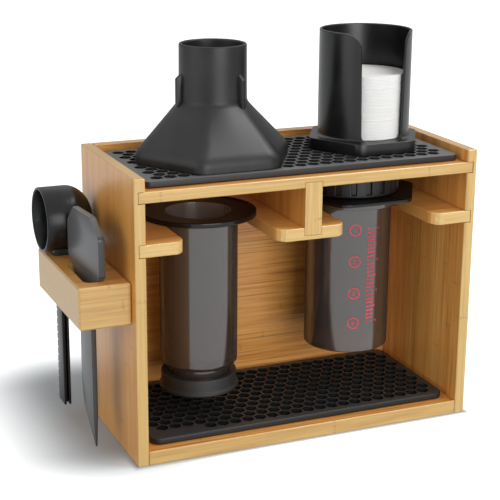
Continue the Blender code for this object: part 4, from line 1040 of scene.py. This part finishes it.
# %% Printed scale
PRINT_ANGLE = math.radians(-107)
FILM = 0.06
FILM_FOOT = 0.01
NUMBER_LEVELS = (-17.0, -42.1, -67.6, -91.8)
DIGIT_HEIGHT = 5.6
CIRCLE_RADIUS = 4.6
CIRCLE_WIDTH = 0.8
MARKS = 25
MARKS_ACROSS = 10.2
MARK_WIDTH = 1.7
MARK_DROP = 0.5
LONG_MARK, MIDDLE_MARK, SHORT_MARK = 10.0, 8.0, 6.0


def wrapped(flat):
    """Bend a flat drawing (across, up, depth) round the tube: angle = across over the radius."""
    across, up, depth = np.array(flat, float).T
    turn = PRINT_ANGLE + across / CHAMBER_REACH
    return np.column_stack([arc(CHAMBER_REACH + depth, turn), up])


def digit(text, level):
    """A digit from the built-in type, turned upside down and bent on to the tube."""
    curve = bpy.data.curves.new("digit", "FONT")
    curve.body = text
    curve.size = DIGIT_HEIGHT
    curve.align_x, curve.align_y = "CENTER", "CENTER"
    curve.extrude = FILM / 2
    holder = bpy.data.objects.new("digit", curve)
    bpy.context.scene.collection.objects.link(holder)
    bpy.context.view_layer.update()
    mesh = bpy.data.meshes.new_from_object(holder.evaluated_get(bpy.context.evaluated_depsgraph_get()))
    flat = np.zeros(len(mesh.vertices) * 3)
    mesh.vertices.foreach_get("co", flat)
    flat = flat.reshape(-1, 3) * (-1, -1, 1) + (0, level, FILM)
    faces = [list(face.vertices) for face in mesh.polygons]
    bpy.data.objects.remove(holder)
    return wrapped(flat), faces


def printed_circle(level):
    """A flat band between two circles, as a closed thin film."""
    inner_radius = CIRCLE_RADIUS - CIRCLE_WIDTH
    radius, depth = np.array(rectangle(inner_radius, FILM_FOOT, CIRCLE_RADIUS, FILM)).T[:, :, None]
    points, faces = shell(ringed(radius, angles(64), depth) + (0, level, 0), closed=True)
    return wrapped(points), faces


def level_mark(level, length):
    """A level mark: a thin closed bar."""
    outline = rectangle(MARKS_ACROSS, level, MARKS_ACROSS + length, level + MARK_WIDTH)
    points, faces = shell(drawn(outline, [FILM_FOOT, FILM]))
    return wrapped(points), faces


scale_ink = moulded("scale_ink", srgb(206, 50, 70), 0.5, grain=3.0, depth=0.004)
prints = []
for number, level in enumerate(NUMBER_LEVELS, start=1):
    prints.append(printed_circle(level))
    prints.append(digit(str(number), level))
mark_levels = np.linspace(NUMBER_LEVELS[0], NUMBER_LEVELS[-1], MARKS) - MARK_DROP
for k, level in enumerate(mark_levels):
    length = LONG_MARK if k % 8 == 0 else MIDDLE_MARK if k % 4 == 0 else SHORT_MARK
    prints.append(level_mark(level, length))
piece("chamber_scale", prints, CHAMBER_PLACE, "chamber", scale_ink, flat=True)

# %% [markdown]
# ## Filter cap
# The cap is a ribbed ring with a pierced disc. The ring is turned, but its outer reach rises and
# falls round the piece to make the grip ribs. The disc is a plate with round holes. A flat face
# with many holes is filled by a constrained triangulation, and the walls are strips between the
# same outlines at two heights, so everything closes.

# %% Pierced plate
OUTER_EDGE_STEPS = 5
CLOSE_ENOUGH = 1e-6


def strips(rings):
    """Walls between each loop of numbered points and the next one down."""
    faces = []
    for upper, lower in zip(rings, rings[1:]):
        faces += np.stack([lower, np.roll(lower, -1), np.roll(upper, -1), upper], 1).tolist()
    return faces


def pierced(outline, holes, low, high, floor=None, edge=0.0):
    """A slab with holes, or with blind pockets down to a floor. The top is the triangulation of
    the outline minus the holes. The walls are strips, and the outer one may be rounded."""
    outline = np.array(outline, float)
    loops = [drawn(outline, [0], [edge])[0, :, :2], *[np.array(hole, float) for hole in holes]]
    starts = np.cumsum([0] + [len(loop) for loop in loops])
    rings = [np.arange(start, stop) for start, stop in zip(starts, starts[1:])]
    pairs = np.vstack([np.stack([ring, np.roll(ring, -1)], 1) for ring in rings]).tolist()
    corners = [Vector(point) for point in np.vstack(loops)]
    plan = delaunay_2d_cdt(corners, pairs, [ring.tolist() for ring in rings], 1, CLOSE_ENOUGH, True)
    flat, triangles, owners = np.array(plan[0]), np.array(plan[2]), plan[5]
    hollow = np.array([max(names) > 0 for names in owners])
    count = len(flat)
    points = [np.c_[flat, np.full(count, level)] for level in (high, low if floor is None else floor, low)]
    faces = triangles[~hollow].tolist()
    if floor is None:
        faces += (triangles[~hollow, ::-1] + 2 * count).tolist()
        wall_foot = 2 * count
    else:
        faces += (triangles[:, ::-1] + 2 * count).tolist()
        faces += (triangles[hollow] + count).tolist()
        wall_foot = count
    outer_rings = [rings[0], rings[0] + 2 * count]
    if edge:
        inset, drop = (part[1:] for part in quarter_round(edge, OUTER_EDGE_STEPS))
        z = np.concatenate([high - drop, low + drop[::-1]])
        bands = drawn(outline, z, np.concatenate([inset, inset[::-1]]))
        points.append(bands.reshape(-1, 3))
        numbers = np.arange(bands.shape[0] * bands.shape[1]).reshape(bands.shape[:2]) + 3 * count
        outer_rings = [outer_rings[0], *numbers, outer_rings[1]]
    faces += strips(outer_rings)
    for ring in rings[1:]:
        faces += strips([ring + wall_foot, ring])
    return np.vstack(points), faces


print("a plate with one hole has", len(pierced(arc(2, angles(12)), [arc(1, angles(12))], 0, 1)[1]), "faces")

# %% Filter cap
CAP_PLACE = (62.3, 3.0, 173.3)
CAP_REACH = 38
CAP_CORNERS = (
    (35, 1.2, 0.3), (CAP_REACH, 1.2, 0.5), (CAP_REACH, 18.1, 0.9), (33, 18.1, 0.5), (33, 14.6, 0.1),
    (35, 14.6, 0.1),
)
# The gaps between the ribs run out between the first two and the last two of these levels.
RIB_LEVELS = (3.0, 3.6, 15.4, 16.0)
RIB_ENDS = (3.3, 15.7)
CAP_RIBS = 20
RIB_DEPTH = 1.9
# The middle, half width and slope of the gap between two ribs, as shares of their spacing.
GAP_MIDDLE, GAP_HALF, GAP_SLOPE = 0.81, 0.19, 0.04
HOLE_PITCH = 6.0
HOLE_RADIUS = 1.7
HOLES_WITHIN = 26


def cap_ring():
    """Rings up the ribbed outside, over the crown and down the inside to the disc. Each rib takes
    a share of its period, and between two ribs the reach drops to the root."""
    around = angles(24 * CAP_RIBS)
    rows = rounded(CAP_CORNERS)
    rib_rows = [(CAP_REACH, level) for level in RIB_LEVELS]
    two_corners = 10
    rows = np.vstack([rows[:two_corners], rib_rows, rows[two_corners:]])
    radius, height = rows[:, :1], rows[:, 1:]
    off = np.abs((around * CAP_RIBS / TURN) % 1 - GAP_MIDDLE)
    on_ribs = (height > RIB_ENDS[0]) & (height < RIB_ENDS[1])
    hollow = np.clip((GAP_HALF - off) / GAP_SLOPE, 0, 1) * on_ribs
    reach = np.where(radius > CAP_REACH - 1.5, radius - RIB_DEPTH * hollow, radius)
    return shell(ringed(reach, around, height), closed=True)


def cap_disc():
    """The pierced disc: holes on a triangular lattice, kept where they clear the rim."""
    row, column = np.meshgrid(np.arange(-4, 5), np.arange(-4, 5))
    x = (row + column / 2).ravel() * HOLE_PITCH
    y = (column * math.sqrt(3) / 2).ravel() * HOLE_PITCH
    centres = np.stack([x, y], 1)[x ** 2 + y ** 2 < HOLES_WITHIN ** 2]
    hole = arc(HOLE_RADIUS, angles(14))
    return pierced(arc(33.4, angles()), [centre + hole for centre in centres], 14.3, 16.5)


cap_skins = [cap_ring(), cap_disc(), *bayonet_lugs(35.6, 33.0, 4.7, 7.7)]
piece(
    "filter_cap_moulding", cap_skins, CAP_PLACE, "filter_cap", black_plastic,
    "filter_cap",
)

# %% [markdown]
# ## Scoop
# The scoop lies across the block with its mouth outwards. Its bowl is a turned cup with a domed
# end, laid over by swapping the axes. Its handle drops through the slot: an H section, which is
# how a long thin moulding is kept stiff. A small saddle carries the bowl on the block.

# %% Scoop bowl and saddle
SCOOP_AXIS = (-175.2, 38.22, 162.5)
BLOCK_TOP = 136.5
HANDLE_X = -160.15
BOWL_INSIDE, BOWL_OUTSIDE = 22.1, 24.0
BOWL_STRAIGHT = 19.9
DOME_INSIDE, DOME_OUTSIDE = 17.6, 19.5
BOWL_POLE = 0.3
BOWL_RIM = ((BOWL_INSIDE, 0.6), (22.35, 0.15), (22.8, 0), (23.3, 0), (23.75, 0.15), (BOWL_OUTSIDE, 0.6))
SADDLE_HALF = 11.8
SADDLE_REACH = 23.05
SADDLE_DEPTH = 8
SADDLE_EDGE = 0.4


def laid_over(points):
    """Swap the axes in a ring: up becomes +X, X becomes Y and Y becomes Z."""
    return np.asarray(points)[..., [2, 0, 1]]


def dome(reach, depth):
    """A quarter ellipse from the bowl's straight wall to the axis, as r = reach cos t and
    s = straight + depth sin t, with the pole's point at its end."""
    t = np.linspace(0, np.pi / 2, 14)[:-1]
    curve = np.stack([reach * np.cos(t), BOWL_STRAIGHT + depth * np.sin(t)], 1)
    return np.vstack([curve, [(BOWL_POLE, BOWL_STRAIGHT + depth)]])


def bowl():
    """From the middle of the inside, out over the rim, to the middle of the domed outside."""
    profile = np.vstack([dome(BOWL_INSIDE, DOME_INSIDE)[::-1], BOWL_RIM, dome(BOWL_OUTSIDE, DOME_OUTSIDE)])
    points, faces = shell(turned(profile, 144))
    return laid_over(points), faces


def saddle():
    """The saddle between bowl and block: a flat foot below, the bowl's own arc above."""
    spread = math.asin(SADDLE_HALF / SADDLE_REACH)
    arch = arc(SADDLE_REACH, np.linspace(spread, -spread, 14) - np.pi / 2)
    foot = BLOCK_TOP + FIT - SCOOP_AXIS[2]
    outline = np.vstack([[(-SADDLE_HALF, foot), (SADDLE_HALF, foot)], arch])
    points, faces = soft_slab(outline, -SADDLE_DEPTH, SADDLE_DEPTH, SADDLE_EDGE)
    return laid_over(points) + (HANDLE_X - SCOOP_AXIS[0], 0, 0), faces


print("the bowl has", len(bowl()[1]), "faces")

# %% Scoop
HANDLE_HALF_X, HANDLE_HALF_Y = 2.7, 7.7
GROOVE_HALF, GROOVE_FLOOR = 1, 2.7
HANDLE_ROUND = 0.35
HANDLE_TIP = 16.2
TIP_ROWS = (0, 0.3, 0.8)
TIP_INSETS = (0.3, 0.08)
HANDLE_TOP = 131.8
NOTCH_LOW = 22.0
NOTCH_STEP = 6.0
NOTCHES = 15
NOTCH_DEPTH = 2.8
NOTCH_ROWS = (0, 0.15, 1.25, 1.4)
NOTCH_CUT = (False, True, True, False)
ROOT_HALF_X, ROOT_HALF_Y = 2.68, 7.68
ROOT_LOW, ROOT_HIGH = 131.6, 139.5
ROOT_EDGE = 0.2


def handle():
    """The H section carried up from the tip, its tip eased. Small notches mark its back edge: at
    the rows of a notch, one leg of the section is pushed in."""
    half = np.array([
        (HANDLE_HALF_X, -HANDLE_HALF_Y), (HANDLE_HALF_X, HANDLE_HALF_Y), (GROOVE_HALF, HANDLE_HALF_Y),
        (GROOVE_HALF, GROOVE_FLOOR), (-GROOVE_HALF, GROOVE_FLOOR), (-GROOVE_HALF, HANDLE_HALF_Y),
    ])
    outline = fillet(np.vstack([half, -half]), HANDLE_ROUND, 4)
    notches = NOTCH_LOW + NOTCH_STEP * np.arange(NOTCHES)[:, None] + np.array(NOTCH_ROWS)
    levels = np.concatenate([HANDLE_TIP + np.array(TIP_ROWS), notches.ravel(), [HANDLE_TOP]])
    grid = drawn(outline, levels, [*TIP_INSETS, *[0] * (len(levels) - len(TIP_INSETS))])
    cut = np.array([False] * len(TIP_ROWS) + [*NOTCH_CUT] * NOTCHES + [False])[:, None]
    leg = (grid[..., 0] < 0.1 - GROOVE_HALF) & (grid[..., 1] > HANDLE_HALF_Y - 0.8)
    grid[..., 1] -= NOTCH_DEPTH * (cut & leg)
    points, faces = shell(grid, caps=False)
    ring = np.arange(len(outline))
    faces += [ring[::-1].tolist(), (ring + len(points) - len(ring)).tolist()]
    return points, faces


def handle_root():
    """The solid end of the handle, where the H section runs into the saddle."""
    side = np.array([(ROOT_HALF_X, -ROOT_HALF_Y), (ROOT_HALF_X, ROOT_HALF_Y)])
    outline = fillet(np.vstack([side, -side]), HANDLE_ROUND, 4)
    return soft_slab(outline, ROOT_LOW, ROOT_HIGH, ROOT_EDGE)


scoop_plastic = moulded("scoop_plastic", srgb(9, 9, 9), 0.3, Specular_IOR_Level=0.35)
to_axis = np.array([HANDLE_X, SCOOP_AXIS[1], 0]) - SCOOP_AXIS
hanging = [(points + to_axis, faces) for points, faces in (handle(), handle_root())]
scoop_skins = [bowl(), saddle(), *hanging]
piece("scoop_moulding", scoop_skins, SCOOP_AXIS, "scoop", scoop_plastic, "scoop")

# %% [markdown]
# ## Stirrer
# The stirrer is a flat paddle with a broad six-sided head and a long handle cut on the slant. Its two long
# edges are drawn as separate lines with rounded corners. Each row of the surface spans from one line to the
# other with rounded edges, so the thickness can change along the way. The colour follows the way that the
# surface faces: the flats are painted lighter as a painted sheen, and the narrow sides darker as painted
# shade.

# %% Stirrer
STIRRER_PLACE = (-156.65, -18.36, BLOCK_TOP)
STIRRER_TURN = math.radians(5)
# Each corner's place across and up, and its round, from the slanted tip to the top of the head.
FRONT_CORNERS = (
    (-10.8, -130.8, 0), (-10.8, -11.63, 9), (-29.9, 3.65, 2.5), (-29.9, 31.85, 5), (-13.1, 43.45, 0),
)
BACK_CORNERS = (
    (10.8, -104.8, 0), (10.8, -8.75, 9), (29.9, 6.53, 2.5), (29.9, 31.85, 5), (18.6, 43.45, 0),
)
# Half the thickness at some heights of the front line.
THICK_AT = (-130.8, -104.8, -11.6, 3.65)
HALF_THICK = (0.7, 1.9, 1.9, 2.5)
# Two rows past the top, and how much thinner each half is there.
TOP_ROWS = ((0, 0.3), (0, 0.4))
TOP_THINNER = (0.25, 0.7)
STIRRER_EDGE = 0.45
NARROW_PAINTED_SHADE_STEP = (0.5, 0.8)

grey_plastic = moulded("grey_plastic", None, 0.3, grain=1.8, depth=0.018)
# Painted light: the flats get a lighter grey as a painted sheen, and the narrow sides a darker grey as
# painted shade.
narrow_painted_shade = abs(grey_plastic.facing(Y)).between(*NARROW_PAINTED_SHADE_STEP)
grey_plastic.feed("Base Color", grey_plastic.mix(narrow_painted_shade, srgb(96, 96, 97), srgb(52, 51, 50)))


def stirrer_line(corners):
    """One long edge: even points up the handle, then the rounded head, and two rows that ease its
    top."""
    line = rounded(corners, 7, closed=False)
    share = np.linspace(0, 1, 16)[:, None]
    shaft = line[0] * (1 - share) + line[1] * share
    return np.vstack([shaft, line[2:], line[-1] + np.array(TOP_ROWS)])


def stirrer():
    """Rows from the slanted tip up to the top of the head. A row's ring goes round a flat section
    whose four edges are quarter circles."""
    front, behind = stirrer_line(FRONT_CORNERS), stirrer_line(BACK_CORNERS)
    half = np.interp(front[:, 1], THICK_AT, HALF_THICK)
    half[-2:] -= TOP_THINNER
    inset, drop = quarter_round(np.minimum(STIRRER_EDGE, half * 0.6)[:, None])
    depth = half[:, None] - drop
    x = np.hstack([-depth, depth[:, ::-1], depth, -depth[:, ::-1]])
    span = behind - front
    step = (span / np.linalg.norm(span, axis=1)[:, None])[:, None]
    inwards = step * np.hstack([inset, inset[:, ::-1]])[..., None]
    flat = np.concatenate([front[:, None] + inwards, behind[:, None] - inwards], 1)
    points, faces = shell(np.concatenate([x[..., None], flat], 2))
    return spun(points, STIRRER_TURN), faces


piece("stirrer_moulding", [stirrer()], STIRRER_PLACE, "stirrer", grey_plastic, "stirrer")

# %% [markdown]
# ## Honeycomb mats
# Both mats are black rubber with a field of six-sided pockets that let cups drain. The ridges between them
# are barely over a millimetre wide, so the pockets are real geometry: a bump would not hold the dark depth
# that the photograph shows. Rows of centres are shifted by half a pitch every other row, and cells that
# would cross the rim or the bare patch are left out. The tops of the ridges are a little lighter than the
# walls of the pockets, partly from wear and partly as a painted sheen. The upper mat is painted lighter
# than the lower one, which lies in the shade of the box, though both are the same rubber.

# %% Mats
LOWER_MAT_LOW = 10.8
MAT_FRONT, MAT_BACK = -55.45, 51.65
MAT_RIM = 2.2
MAT_FLOOR = 1.3
MAT_EDGE = 0.9
PITCH = 10.0
RIDGE = 1.35
WEAR_AND_SHEEN_STEP = (0.7, 0.97)


def ridged(name, colour, ridge, low):
    """Mat rubber whose upward faces at the top are lighter than the pockets' walls, partly from wear and
    partly as a painted sheen.
    """
    finish = moulded(name, None, 0.5, grain=2.2)
    _, _, z = finish.places()
    top = low + MAT_THICKNESS
    # Partly wear and partly painted sheen: upward faces near the top get the lighter ridge colour.
    wear_and_sheen = finish.facing(Z).between(*WEAR_AND_SHEEN_STEP) * z.between(top - 1.5, top - 0.5)
    finish.feed("Base Color", finish.mix(wear_and_sheen, colour, ridge))
    return finish


def honeycomb(half_x, low_y, high_y, patch):
    """Hexagons with a corner to the front and back, as many as fit in the field."""
    row_step = PITCH * math.sqrt(3) / 2
    tall = PITCH / math.sqrt(3)
    rows = int((high_y - low_y - 2 * tall) / row_step) + 1
    columns = int(2 * half_x / PITCH - 0.5)
    row, column = np.meshgrid(np.arange(rows), np.arange(columns), indexing="ij")
    x = (column - (columns - 0.5) / 2 + 0.5 * (row % 2)) * PITCH
    y = (low_y + high_y) / 2 + (row - (rows - 1) / 2) * row_step
    keep = (x > -half_x + patch[0]) | (y > low_y + patch[1])
    centres = np.stack([x[keep], y[keep]], 1)
    cell = arc((PITCH - RIDGE) / math.sqrt(3), np.radians(30 + 60 * np.arange(6)))
    return centres[:, None] + cell


def mat(name, node, finish, half_x, low, corner, patch):
    """A mat with rounded corners and edges, and its honeycomb of pockets. The patch is the part of
    its front left corner that stays bare."""
    outline = fillet(rectangle(-half_x, MAT_FRONT, half_x, MAT_BACK), corner, 8)
    cells = honeycomb(half_x - MAT_RIM, MAT_FRONT + MAT_RIM, MAT_BACK - MAT_RIM, patch)
    slab = pierced(outline, list(cells), low, low + MAT_THICKNESS, low + MAT_FLOOR, MAT_EDGE)
    piece(name, [slab], (0, 0, 0), node, finish, node)
    print(len(cells), "pockets")


# Painted light: the same rubber is lighter on the upper mat and darker on the lower one, which stands in
# the shade of the box.
lit_upper_rubber = ridged("lit_upper_mat_rubber", srgb(26, 26, 26), srgb(92, 92, 92), UPPER_MAT_LOW)
shaded_lower_rubber = ridged("shaded_lower_mat_rubber", srgb(14, 14, 14), srgb(47, 46, 46), LOWER_MAT_LOW)
mat("upper_mat", "top_mat", lit_upper_rubber, 123.4, UPPER_MAT_LOW, 4, (0, 0))
mat("lower_mat", "bottom_mat", shaded_lower_rubber, 121.4, LOWER_MAT_LOW, 8, (46, 10))
